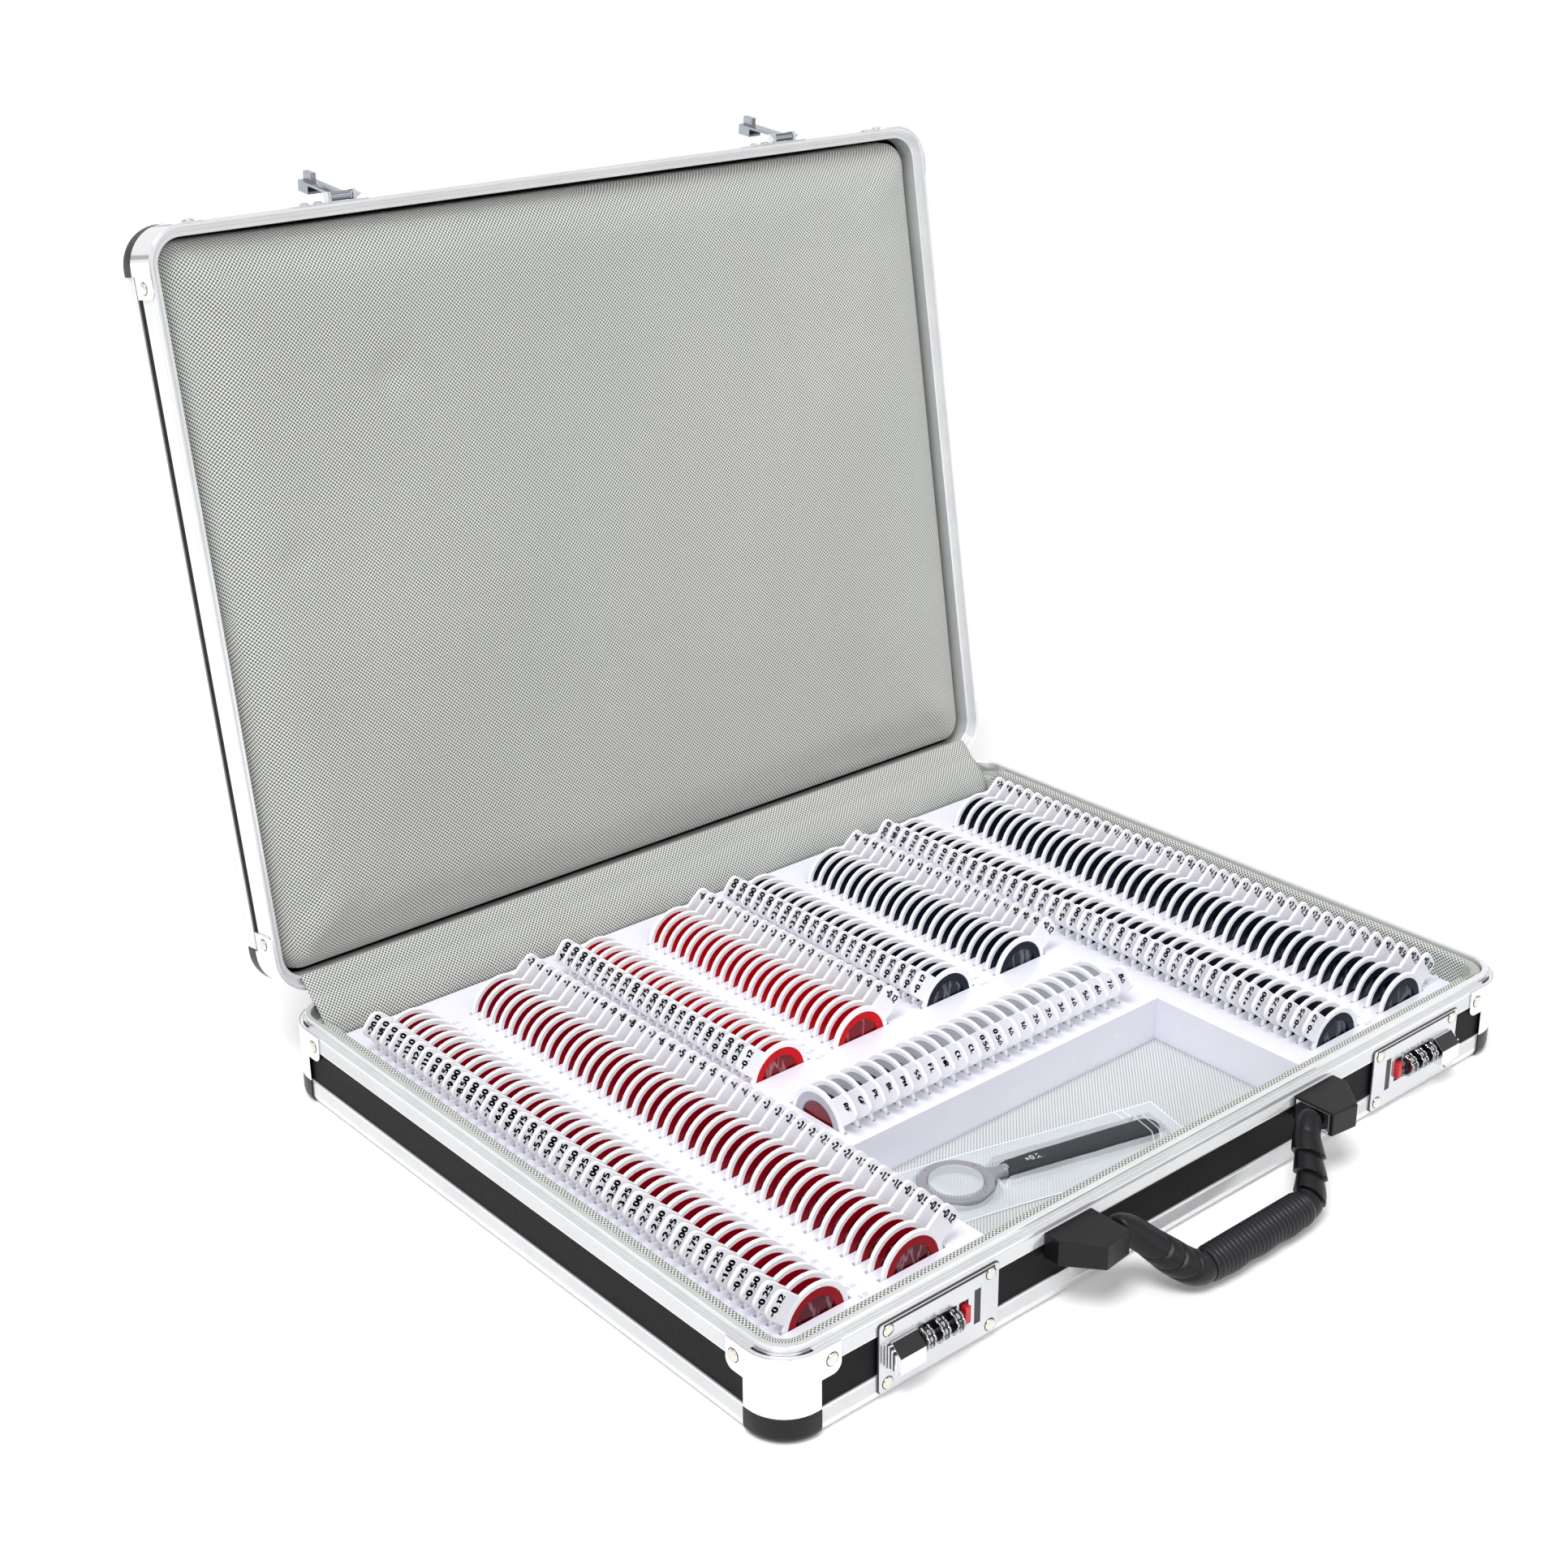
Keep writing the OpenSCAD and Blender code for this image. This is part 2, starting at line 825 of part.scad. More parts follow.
// Bright plate on the inner face of each bracket
module bracket_plates() {
  inner = -bracket_span / 2;
  color("#e4e6e8") for (s = [-1, 1]) handle_side(s) difference() {
    block([inner, -case_d / 2 - bracket_d + 4, bracket_z0 + 1],
          [inner + 0.6, -case_d / 2 - 2, bracket_z1 - 1]);
    translate([0, handle_y, handle_z])
      tube_x(handle_pin_r + 0.3, inner - 1, inner + 2);
  }
}

// Swings what is drawn hanging straight down out to where it rests
module hang_handle() {
  translate([0, handle_y, handle_z]) rotate([-handle_hang, 0, 0]) children();
}

arm_x = -bracket_span / 2 + 0.6 + arm_play;

module arm() {
  boss_l = 8;
  collar_l = 6;
  knuckle_r = arm_r - 0.3;
  shoulder = [arm_x + arm_r, 0, 0];
  elbow = [-grip_l / 2 - 12, 0, -handle_reach + 8];
  union() {
    tube_x(arm_r, arm_x, arm_x + boss_l);
    bar(shoulder, elbow, arm_r - 0.5);
    translate(shoulder) sphere(r = knuckle_r);
    translate(elbow) sphere(r = knuckle_r);
    bar(elbow, [-grip_l / 2 - 5, 0, -handle_reach + 2], arm_r - 0.5);
    translate([-grip_l / 2, 0, -handle_reach]) tube_x(grip_r - 1, -collar_l, 0);
  }
}

module handle_left_arm() {
  color("#1c1c20") handle_side(-1) hang_handle() arm();
}

module handle_right_arm() {
  color("#1c1c20") handle_side(1) hang_handle() arm();
}

module handle_grip() {
  step = grip_l / grip_rings;
  color("#26262c") translate([handle_x, 0, 0]) hang_handle()
    translate([0, 0, -handle_reach]) {
      tube_x(grip_r - grip_core, -grip_l / 2, grip_l / 2);
      for (i = [0 : grip_rings - 1])
        tube_x(grip_r, -grip_l / 2 + i * step, -grip_l / 2 + (i + 0.6) * step);
    }
}

module handle_pins() {
  inner = -bracket_span / 2;
  color("#9a9ca0") for (s = [-1, 1])
    handle_side(s) translate([0, handle_y, handle_z])
      tube_x(handle_pin_r, inner - pin_in, arm_x);
}

// ---- hinge ----

module pin_bore() {
  translate([0, hinge_y, hinge_z])
    tube_x(hinge_pin_r + run_play, -hinge_half - 1, hinge_half + 1);
}

// Leaf with its knuckles; the neck joins each knuckle to the leaf
module leaf(parity, z0, z1, neck0, neck1) {
  step = 2 * hinge_half / knuckles;
  y = case_d / 2;
  difference() {
    union() {
      block([-hinge_half, y, z0], [hinge_half, y + leaf_t, z1]);
      for (i = [parity : 2 : knuckles - 1]) {
        x0 = -hinge_half + i * step + knuckle_gap / 2;
        x1 = x0 + step - knuckle_gap;
        translate([0, hinge_y, hinge_z]) tube_x(knuckle_r, x0, x1);
        block([x0, y, neck0], [x1, y + leaf_t, neck1]);
      }
    }
    pin_bore();
  }
}

module hinge_base_leaf() {
  top = hinge_z - knuckle_r - 0.3;
  color("#c9cacc") leaf(0, top - leaf_h, top, top - eps, hinge_z);
}

module hinge_lid_leaf() {
  low = hinge_z + knuckle_r + 0.3;
  color("#c9cacc") on_lid() leaf(1, low, low + leaf_h, hinge_z, low + eps);
}

module hinge_pin() {
  color("#9a9ca0") translate([0, hinge_y, hinge_z])
    tube_x(hinge_pin_r, -hinge_half, hinge_half);
}

// Cloth flap: from the lid's lower edge, over the base rim, down behind the tray
function flap_path() = let (
    c = cos(lid_open), s = sin(lid_open),
    open = function (p) [hinge_y + p[0] * c + p[1] * s,
                         hinge_z - p[0] * s + p[1] * c])
  [ open([-11.4, -0.9]), open([-9.2, -0.9]), open([-7.4, -5.2]),
    [case_d / 2 - 4.4, base_h + 1.8], [case_d / 2 - 6.8, base_h + 0.8],
    [case_d / 2 - 11, base_h - 2.4], [tray_back + 3.6, base_h - 8],
    [tray_back + 1.6, tray_z + 3], [tray_back + 1.3, tray_z - 1.5] ];

function path_normal(p, i) = let (
    a = p[max(i - 1, 0)], b = p[min(i + 1, len(p) - 1)], d = (b - a) / norm(b - a))
  [-d[1], d[0]];

module hinge_flap() {
  p = flap_path();
  up = [for (i = [0 : len(p) - 1]) p[i] + path_normal(p, i) * flap_t / 2];
  down = [for (i = [len(p) - 1 : -1 : 0]) p[i] - path_normal(p, i) * flap_t / 2];
  w = case_w - 2 * liner_in - 3;
  color("#b9bab4") translate([-w / 2, 0, 0]) rotate([90, 0, 90])
    linear_extrude(w) polygon(concat(up, down));
}

// ---- lid, drawn closed ----

module lid_top_panel() {
  color("#2a292e") on_lid() union() {
    slab(panel_in, lid_top - web_t - panel_t, lid_top - web_t);
    slab(foot_web_in, lid_top - web_t - eps, lid_top);
  }
}

module lid_side_panels() {
  color("#2a292e") on_lid() ring(section_t, panel_in, lid_z + web_t, lid_top - web_t);
}

module lid_rim_frame() {
  color("#c9cacc") on_lid() union() {
    ring(0, section_t, skirt_z, lid_band_z);
    ring(section_t - eps, skirt_t, skirt_z, lid_z + web_t);
    ring(skirt_t - eps, tongue_in, lid_z, lid_z + web_t);
    ring(panel_in, tongue_in, lid_z + web_t - eps, lid_band_z);
  }
}

module lid_edge_frame() {
  color("#c9cacc") on_lid() union() {
    ring(0, section_t, lid_edge_z, lid_top);
    ring(section_t - eps, foot_web_in, lid_top - web_t, lid_top);
  }
}

module lid_corner_covers() {
  color("#e4e6e8") on_lid() at_corners()
    corner_cover(skirt_z, lid_edge_z, skirt_z, lid_band_z + 3);
}

module lid_corner_caps() {
  color("#1c1c20") on_lid() at_corners() intersection() {
    ring(-cover_t, 0, lid_edge_z, lid_top);
    corner_zone(lid_edge_z, lid_top, cover_reach);
  }
}

module lid_rivets() {
  color("#d9d4c6") on_lid() at_corners() corner_rivets(lid_z + 6);
}

module lid_pad() {
  r = corner_r - pad_side;
  x = case_w / 2 - pad_side;
  y0 = -case_d / 2 + pad_front;
  y1 = case_d / 2 - pad_back;
  color("#b9bab4") on_lid() translate([0, (y0 + y1) / 2, pad_z])
    linear_extrude(pad_depth) rounded(2 * x, y1 - y0, r);
}

// ---- hasps, drawn latched on the closed lid ----

module hasp() {
  arm_back = 1.4;
  difference() {
    union() {
      tube_x(hasp_sleeve_r, -hasp_sleeve_l / 2, hasp_sleeve_l / 2);
      block([-hasp_arm_w / 2, arm_back - hasp_arm_t, -hasp_reach],
            [hasp_arm_w / 2, arm_back, 0]);
      block([-hasp_arm_w / 2, arm_back - hasp_arm_t - 4.6, -hasp_reach],
            [hasp_arm_w / 2, arm_back - hasp_arm_t + eps, -hasp_reach + hasp_block_h]);
      block([-hasp_tongue_w / 2, arm_back - eps, -hasp_reach + 0.5],
            [hasp_tongue_w / 2, arm_back + hasp_tongue_d, -hasp_reach + 0.5 + hasp_tongue_h]);
    }
    tube_x(hasp_pin_r + run_play, -hasp_sleeve_l, hasp_sleeve_l);
  }
}

module place_hasp(x, turn) {
  on_lid() translate([x, hasp_y, hasp_z]) rotate([-turn, 0, 0]) hasp();
}

left_hasp_x = left_lock_x + keeper_x;
right_hasp_x = right_lock_x - keeper_x;

module left_hasp() {
  color("#e4e6e8") place_hasp(left_hasp_x, left_hasp_turn);
}

module right_hasp() {
  color("#e4e6e8") place_hasp(right_hasp_x, right_hasp_turn);
}

// Plate, two ears and the pin that a hasp turns on
module hasp_mount() {
  y1 = -case_d / 2;
  y0 = y1 - mount_t;
  half = hasp_sleeve_r + 0.2;
  gap = hasp_sleeve_l / 2 + 0.2;
  end = gap + mount_ear;
  block([-mount_left, y0, hasp_z - mount_low],
        [mount_right, y1, hasp_z + mount_high]);
  for (s = [-1, 1])
    translate([s * (gap + mount_ear / 2), 0, 0])
      block([-mount_ear / 2, hasp_y - half, hasp_z - half],
            [mount_ear / 2, y0 + eps, hasp_z + half]);
  translate([0, hasp_y, hasp_z]) {
    tube_x(hasp_pin_r, -end + eps, end);
    translate([end - eps, 0, 0]) rotate([0, 90, 0])
      cylinder(r1 = hasp_sleeve_r, r2 = hasp_sleeve_r / 4, h = pin_tip_l);
  }
  for (i = [0, 1])
    translate([-mount_left + mount_rivet_in + i * mount_rivet_step, y0 + eps,
               hasp_z + 1]) rotate([90, 0, 0])
      dome(rivet_r - 0.4);
}

module hasp_mounts() {
  color("#dcdee2") on_lid() {
    translate([left_hasp_x, 0, 0]) hasp_mount();
    translate([right_hasp_x, 0, 0]) hasp_mount();
  }
}

// ---- cross cylinder in its bag ----

module flip_place() {
  translate([flip_x, flip_y, flip_z]) rotate([0, 0, flip_turn]) children();
}

module cross_cylinder() {
  handle0 = flip_r + flip_neck;
  color("#3a3c40") flip_place() difference() {
    union() {
      translate([0, 0, -flip_t / 2]) cylinder(r = flip_r, h = flip_t);
      tube_x(flip_neck_r, flip_r - 1.5, handle0 + 2);
      rotate([0, 90, 0]) translate([0, 0, handle0])
        linear_extrude(flip_handle_l)
          rounded(flip_handle_t, flip_handle_w, 3);
    }
    translate([0, 0, -flip_t]) cylinder(r = flip_glass_r, h = 2 * flip_t);
  }
}

module cross_cylinder_lens() {
  color("#d8dade") flip_place()
    translate([0, 0, -glass_t / 2]) cylinder(r = flip_glass_r, h = glass_t);
}

// Thin closed bag round the flip lens
module lens_bag() {
  x0 = -flip_r - bag_head;
  x1 = flip_r + flip_neck + flip_handle_l + bag_end;
  half_w = flip_r + bag_side;
  half_t = flip_handle_t / 2 + bag_play;
  color([0.9, 0.92, 0.95, 0.5]) flip_place() difference() {
    block([x0 - bag_wall, -half_w - bag_wall, -half_t - bag_wall],
          [x1 + bag_wall, half_w + bag_wall, half_t + bag_wall]);
    block([x0, -half_w, -half_t], [x1, half_w, half_t]);
  }
}

base_floor_panel();
base_side_panels();
base_rim_frame();
base_foot_frame();
base_corner_covers();
base_corner_caps();
base_rivets();
base_liner();
lens_tray();
compartment_floor();
left_lock_plate();
right_lock_plate();
lock_rivets();
left_dial_axle();
right_dial_axle();
left_handle_bracket();
right_handle_bracket();
bracket_plates();
hinge_base_leaf();
hinge_pin();
hinge_flap();
left_lock_button();
right_lock_button();
left_dial_1();
left_dial_2();
left_dial_3();
right_dial_1();
right_dial_2();
right_dial_3();
left_reset_lever();
right_reset_lever();
handle_left_arm();
handle_right_arm();
handle_grip();
handle_pins();
lid_top_panel();
lid_side_panels();
lid_rim_frame();
lid_edge_frame();
lid_corner_covers();
lid_corner_caps();
lid_rivets();
lid_pad();
hinge_lid_leaf();
hasp_mounts();
left_hasp();
right_hasp();
minus_sphere_holders();
minus_sphere_lenses();
minus_cylinder_holders();
minus_cylinder_lenses();
plus_cylinder_holders();
plus_cylinder_lenses();
plus_sphere_holders();
plus_sphere_lenses();
accessory_holders();
accessory_lenses();
cross_cylinder();
cross_cylinder_lens();
lens_bag();
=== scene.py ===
"""Looks of the trial lens set: case, lining, lenses, locks and handle.

Lengths in the shape functions are millimetres. MM turns them into metres when
a mesh is made. Lid pieces are worked out on the closed lid and then opened.
"""

import json
import math

import bmesh
import bpy
import numpy as np
from mathutils import Matrix, Vector, noise


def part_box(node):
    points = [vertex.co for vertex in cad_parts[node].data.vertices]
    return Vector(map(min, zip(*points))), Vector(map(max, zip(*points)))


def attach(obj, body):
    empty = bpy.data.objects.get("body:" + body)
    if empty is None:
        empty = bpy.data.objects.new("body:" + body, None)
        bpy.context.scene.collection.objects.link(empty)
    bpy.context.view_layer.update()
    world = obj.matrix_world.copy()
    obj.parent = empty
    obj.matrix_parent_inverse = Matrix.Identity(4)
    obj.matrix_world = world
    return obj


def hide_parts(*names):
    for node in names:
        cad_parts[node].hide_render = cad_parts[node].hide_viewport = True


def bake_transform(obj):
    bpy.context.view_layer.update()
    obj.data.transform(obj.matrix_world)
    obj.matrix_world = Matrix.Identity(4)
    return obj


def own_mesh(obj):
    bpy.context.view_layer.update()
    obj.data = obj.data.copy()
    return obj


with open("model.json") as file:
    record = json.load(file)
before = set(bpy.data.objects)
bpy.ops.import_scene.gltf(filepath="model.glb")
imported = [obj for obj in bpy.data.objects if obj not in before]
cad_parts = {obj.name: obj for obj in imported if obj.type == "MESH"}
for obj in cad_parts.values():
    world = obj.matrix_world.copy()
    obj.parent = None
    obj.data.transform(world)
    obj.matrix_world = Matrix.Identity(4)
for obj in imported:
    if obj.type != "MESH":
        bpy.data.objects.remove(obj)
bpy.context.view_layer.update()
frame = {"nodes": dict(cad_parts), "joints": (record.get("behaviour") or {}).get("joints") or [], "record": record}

MM = 0.001
JOINTS = {joint["name"]: joint for joint in frame["joints"]}
BODY_OF = {
    node: body
    for body, nodes in frame["record"]["behaviour"]["bodies"].items()
    for node in nodes
}
SLOT_OF = {part["node"]: part["material_slot"] for part in frame["record"]["subparts"]}


def box_mm(node):
    """Lowest and highest corner of a CAD node at rest, in millimetres."""
    low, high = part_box(node)
    return np.array(low) / MM, np.array(high) / MM


# ---- sizes shared by several pieces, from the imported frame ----

foot_low, foot_high = box_mm("base_foot_frame")
rim_high = box_mm("base_rim_frame")[1]
CASE_W = foot_high[0] - foot_low[0]
CASE_D = foot_high[1] - foot_low[1]
FOOT_TOP = foot_high[2]
BASE_H = rim_high[2]
CORNER_R = 20.0
TONGUE = 4.0
RIM_LEG = 9.75
RIM_Z = BASE_H - TONGUE - RIM_LEG
SKIRT_Z = BASE_H - TONGUE + 0.5
LID_Z = BASE_H + 0.4
LID_TOP = LID_Z + 28.2
LID_BAND = LID_Z + 11.6
LID_EDGE = LID_BAND + 5.9
HINGE = np.array(JOINTS["lid_hinge"]["pos_m"]) / MM
LID_OPEN = math.radians(JOINTS["lid_hinge"]["range_deg"][1])
COVER_REACH = 22.8
COVER_T = 0.9
RIVET_STEP = 28.5
LOCK_Z = 21.5
LOCK_FACE = -CASE_D / 2 - 1.2
LENS_R, RING_R, GLASS_R = 19.25, 16.2, 11.6
RIM_T, RING_T = 2.0, 1.8
TAB_REACH, TAB_W, TAB_ROUND = 33.0, 14.5, 5.0
TAB_ANGLE = math.radians(40)
TAB_THINNER, LABEL_IN = 0.12, 4.2
LENS_Z = box_mm("lens_tray")[1][2] - 2.5
LABEL_H, CODE_H, SLOT_MARK_H = 3.9, 3.6, 2.3
BAG_NEAR, BAG_FAR, BAG_HALF = -24.0, 132.0, 26.0
LINING_PITCH = CORD_PITCH = 2.2


def on_lid(points):
    """Turns closed-lid points back about the hinge axis to the open lid."""
    p = np.asarray(points, float)
    y, z = p[..., 1] - HINGE[1], p[..., 2] - HINGE[2]
    c, s = math.cos(LID_OPEN), math.sin(LID_OPEN)
    return np.stack([p[..., 0], HINGE[1] + y * c + z * s, HINGE[2] - y * s + z * c], -1)


# ---- meshes ----


def grid_quads(rows, cols, wrap_rows=False, wrap_cols=False):
    """Quads between neighbours of a grid; a wrapped side joins last to first."""
    i, j = np.meshgrid(
        np.arange(rows if wrap_rows else rows - 1),
        np.arange(cols if wrap_cols else cols - 1),
        indexing="ij",
    )
    ni, nj = (i + 1) % rows, (j + 1) % cols
    quads = np.stack([i * cols + j, i * cols + nj, ni * cols + nj, ni * cols + j], -1)
    return quads.reshape(-1, 4)


def tube_faces(rows, cols):
    """Faces of a closed tube: the wall between its rings and the two end polygons."""
    end = np.arange(cols)[None]
    return grid_quads(rows, cols, wrap_cols=True), end[:, ::-1], end + (rows - 1) * cols


def fan_faces(count, middle):
    """Triangles from a closed ring of count points to the point numbered middle."""
    i = np.arange(count)
    return np.stack([i, (i + 1) % count, np.full(count, middle)], 1)


class Shell:
    """Points and faces of several surfaces, gathered into one mesh."""

    def __init__(self):
        self.points, self.uvs, self.faces, self.kinds, self.count = [], [], [], [], 0

    def add(self, points, *faces, uv=None, kind=0):
        """Adds a surface: points, arrays of equal faces, and a material number for each."""
        points = np.asarray(points, float).reshape(-1, 3)
        uv = np.zeros((len(points), 2)) if uv is None else np.asarray(uv).reshape(-1, 2)
        self.points.append(points)
        self.uvs.append(uv)
        kinds = kind if isinstance(kind, tuple) else (kind,) * len(faces)
        for group, number in zip(faces, kinds):
            group = np.atleast_2d(group) + self.count
            self.faces.append(group)
            self.kinds.append(np.full(len(group), number))
        self.count += len(points)
        return self

    def build(self, name, *paints, sharp=35, outward=True):
        """Makes the object, smooth except where faces meet at over sharp degrees."""
        mesh = bpy.data.meshes.new(name)
        points = np.concatenate(self.points) * MM
        uvs = np.concatenate(self.uvs)
        loops = np.concatenate([g.ravel() for g in self.faces])
        totals = np.concatenate([np.full(len(g), g.shape[1]) for g in self.faces])
        mesh.vertices.add(len(points))
        mesh.vertices.foreach_set("co", points.astype(np.float32).ravel())
        mesh.loops.add(len(loops))
        mesh.loops.foreach_set("vertex_index", loops.astype(np.int32))
        mesh.polygons.add(len(totals))
        starts = np.concatenate([[0], np.cumsum(totals)[:-1]])
        mesh.polygons.foreach_set("loop_start", starts.astype(np.int32))
        mesh.polygons.foreach_set("material_index", np.concatenate(self.kinds).astype(np.int32))
        layer = mesh.uv_layers.new(name="UVMap")
        layer.data.foreach_set("uv", uvs[loops].astype(np.float32).ravel())
        mesh.update(calc_edges=True)
        mesh.validate()
        if outward:
            point_outwards(mesh)
        return new_piece(name, mesh, *paints, sharp=sharp)


def point_outwards(mesh):
    """Turns each closed shell's faces to point out of it."""
    b = bmesh.new()
    b.from_mesh(mesh)
    bmesh.ops.recalc_face_normals(b, faces=b.faces)
    b.to_mesh(mesh)
    b.free()


def new_piece(name, mesh, *paints, sharp=35):
    """Object at the origin for a mesh, with its paints and smooth shading."""
    for paint in paints:
        mesh.materials.append(paint)
    mesh.shade_smooth()
    mesh.set_sharp_from_angle(angle=math.radians(sharp))
    piece = bpy.data.objects.new(name, mesh)
    bpy.context.scene.collection.objects.link(piece)
    return piece


def round_edges(piece, width, steps, angle):
    """Rounds the piece's edges that turn by over angle degrees."""
    edges = piece.modifiers.new("edges", "BEVEL")
    edges.width = width * MM
    edges.segments = steps
    edges.limit_method = "ANGLE"
    edges.angle_limit = math.radians(angle)
    edges.harden_normals = True


def thicken(piece, thickness, offset):
    """Gives a sheet its thickness: offset 0 is both ways, -1 is inwards."""
    cloth = piece.modifiers.new("cloth", "SOLIDIFY")
    cloth.thickness = thickness * MM
    cloth.offset = offset


def place(piece, body, slot, *nodes):
    """The piece rides on a body and stands for CAD nodes, which it hides; slot is not used."""
    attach(piece, body)
    if nodes:
        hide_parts(*nodes)
    return piece


def place_node(piece, node):
    """The piece stands for a CAD node and takes its body."""
    return place(piece, BODY_OF[node], SLOT_OF[node], node)


def softened(node, name, paint, width, steps=2, sharp=35):
    """The CAD node's own shape with its sharp edges rounded over width."""
    mesh = frame["nodes"][node].data.copy()
    mesh.materials.clear()
    b = bmesh.new()
    b.from_mesh(mesh)
    bmesh.ops.remove_doubles(b, verts=b.verts, dist=1e-6)
    bmesh.ops.dissolve_limit(
        b, angle_limit=math.radians(0.5), verts=b.verts, edges=b.edges
    )
    b.to_mesh(mesh)
    b.free()
    piece = new_piece(name, mesh, paint, sharp=sharp)
    round_edges(piece, width, steps, 40)
    return place_node(piece, node)


def rounded_polygon(corners, radius, steps=3):
    """Closed polygon whose corners become quadratic arcs radius long each way."""
    p = np.asarray(corners, float)
    r = np.broadcast_to(radius, len(p))[:, None, None]
    back, ahead = np.roll(p, 1, 0) - p, np.roll(p, -1, 0) - p
    back /= np.linalg.norm(back, axis=1, keepdims=True)
    ahead /= np.linalg.norm(ahead, axis=1, keepdims=True)
    t = np.linspace(0, 1, steps + 1)[None, :, None]
    a, b = p[:, None] + back[:, None] * r, p[:, None] + ahead[:, None] * r
    return ((1 - t) ** 2 * a + 2 * t * (1 - t) * p[:, None] + t**2 * b).reshape(-1, 2)


def smooth_line(points, per=8):
    """Curve through points: Catmull-Rom cubic between each pair of neighbours."""
    p = np.asarray(points, float)
    q = np.concatenate([[2 * p[0] - p[1]], p, [2 * p[-1] - p[-2]]])
    t = np.linspace(0, 1, per, endpoint=False)[None, :, None]
    a, b, c, d = (q[i : len(q) - 3 + i, None] for i in range(4))
    curve = 0.5 * (
        2 * b + (c - a) * t + (2 * a - 5 * b + 4 * c - d) * t**2
        + (3 * b - a - 3 * c + d) * t**3
    )
    return np.concatenate([curve.reshape(-1, p.shape[1]), p[-1:]])


def lengths_along(points):
    """Distance of each point of a line from its first point, along the line."""
    steps = np.linalg.norm(np.diff(points, axis=0), axis=1)
    return np.concatenate([[0], np.cumsum(steps)])


def smooth_step(x, low, high):
    """0 below low, 1 above high, and a cubic between them."""
    t = np.clip((np.asarray(x, float) - low) / (high - low), 0, 1)
    return t * t * (3 - 2 * t)


# ---- paints ----


class Val:
    """One socket's value; arithmetic on it adds Math nodes."""

    def __init__(self, paint, socket):
        self.paint, self.socket = paint, socket

    def __add__(self, other):
        return self.paint.math("ADD", self, other)

    def __radd__(self, other):
        return self.paint.math("ADD", other, self)

    def __sub__(self, other):
        return self.paint.math("SUBTRACT", self, other)

    def __rsub__(self, other):
        return self.paint.math("SUBTRACT", other, self)

    def __mul__(self, other):
        return self.paint.math("MULTIPLY", self, other)

    def __rmul__(self, other):
        return self.paint.math("MULTIPLY", other, self)

    def __truediv__(self, other):
        return self.paint.math("DIVIDE", self, other)

    def __pow__(self, other):
        return self.paint.math("POWER", self, other)

    def __gt__(self, other):
        return self.paint.math("GREATER_THAN", self, other)

    def __lt__(self, other):
        return self.paint.math("LESS_THAN", self, other)

    def fract(self):
        return self.paint.math("FRACT", self)

    def size(self):
        return self.paint.math("ABSOLUTE", self)

    def root(self):
        return self.paint.math("SQRT", self)

    def clamped(self):
        return self.paint.node("ShaderNodeClamp", Value=self)

    def ramp(self, low, high):
        """0 at low and 1 at high, straight between them."""
        return ((self - low) / (high - low)).clamped()


def tint(code):
    """Linear colour of a hex code."""
    s = np.array([int(code[i : i + 2], 16) / 255 for i in (0, 2, 4)])
    linear = np.where(s <= 0.04045, s / 12.92, ((s + 0.055) / 1.055) ** 2.4)
    return (*linear.tolist(), 1.0)


class Paint:
    """The node tree of a material or of the world, written as expressions."""

    def __init__(self, name, owner=None, shader="Principled BSDF"):
        self.material = owner or bpy.data.materials.new(name)
        self.material.use_nodes = True
        self.tree = self.material.node_tree
        self.shader = self.tree.nodes[shader]

    def node(self, kind, settings=None, out=0, **inputs):
        """Adds a node: its settings first, then its sockets' values or links."""
        node = self.tree.nodes.new(kind)
        for key, value in (settings or {}).items():
            setattr(node, key, value)
        for key, value in inputs.items():
            self.feed(node.inputs[key.replace("_", " ")], value)
        return Val(self, node.outputs[out])

    def feed(self, socket, value):
        if isinstance(value, Val):
            self.tree.links.new(value.socket, socket)
        else:
            socket.default_value = value

    def math(self, operation, *values):
        node = self.tree.nodes.new("ShaderNodeMath")
        node.operation = operation
        for socket, value in zip(node.inputs, values):
            self.feed(socket, value)
        return Val(self, node.outputs[0])

    def mix(self, share, first, second):
        """Colour that is first at share 0 and second at share 1."""
        node = self.tree.nodes.new("ShaderNodeMix")
        node.data_type = "RGBA"
        for index, value in ((0, share), (6, first), (7, second)):
            self.feed(node.inputs[index], value)
        return Val(self, node.outputs[2])

    def object_place(self, scale=(1, 1, 1), turn=(0, 0, 0)):
        place = self.node("ShaderNodeTexCoord", out=3)
        return self.node("ShaderNodeMapping", Vector=place, Scale=scale, Rotation=turn)

    def cloth_place(self):
        """Two values: the piece's own UV map, in millimetres along each way."""
        parts = self.node("ShaderNodeSeparateXYZ", Vector=self.node("ShaderNodeTexCoord", out=2))
        node = parts.socket.node
        return Val(self, node.outputs[0]), Val(self, node.outputs[1])

    def cloud(self, scale, detail=2.0, vector=None, rough=0.5):
        """Soft noise from 0 to 1; scale is in cells per metre."""
        vector = self.object_place() if vector is None else vector
        return self.node(
            "ShaderNodeTexNoise", Vector=vector, Scale=scale, Detail=detail, Roughness=rough
        )

    def bump(self, height, depth):
        """Normal for a height from 0 to 1 that is depth millimetres deep."""
        return self.node("ShaderNodeBump", Height=height, Distance=depth * MM, Strength=1.0)

    def finish(self, **inputs):
        for key, value in inputs.items():
            self.feed(self.shader.inputs[key.replace("_", " ")], value)
        return self.material


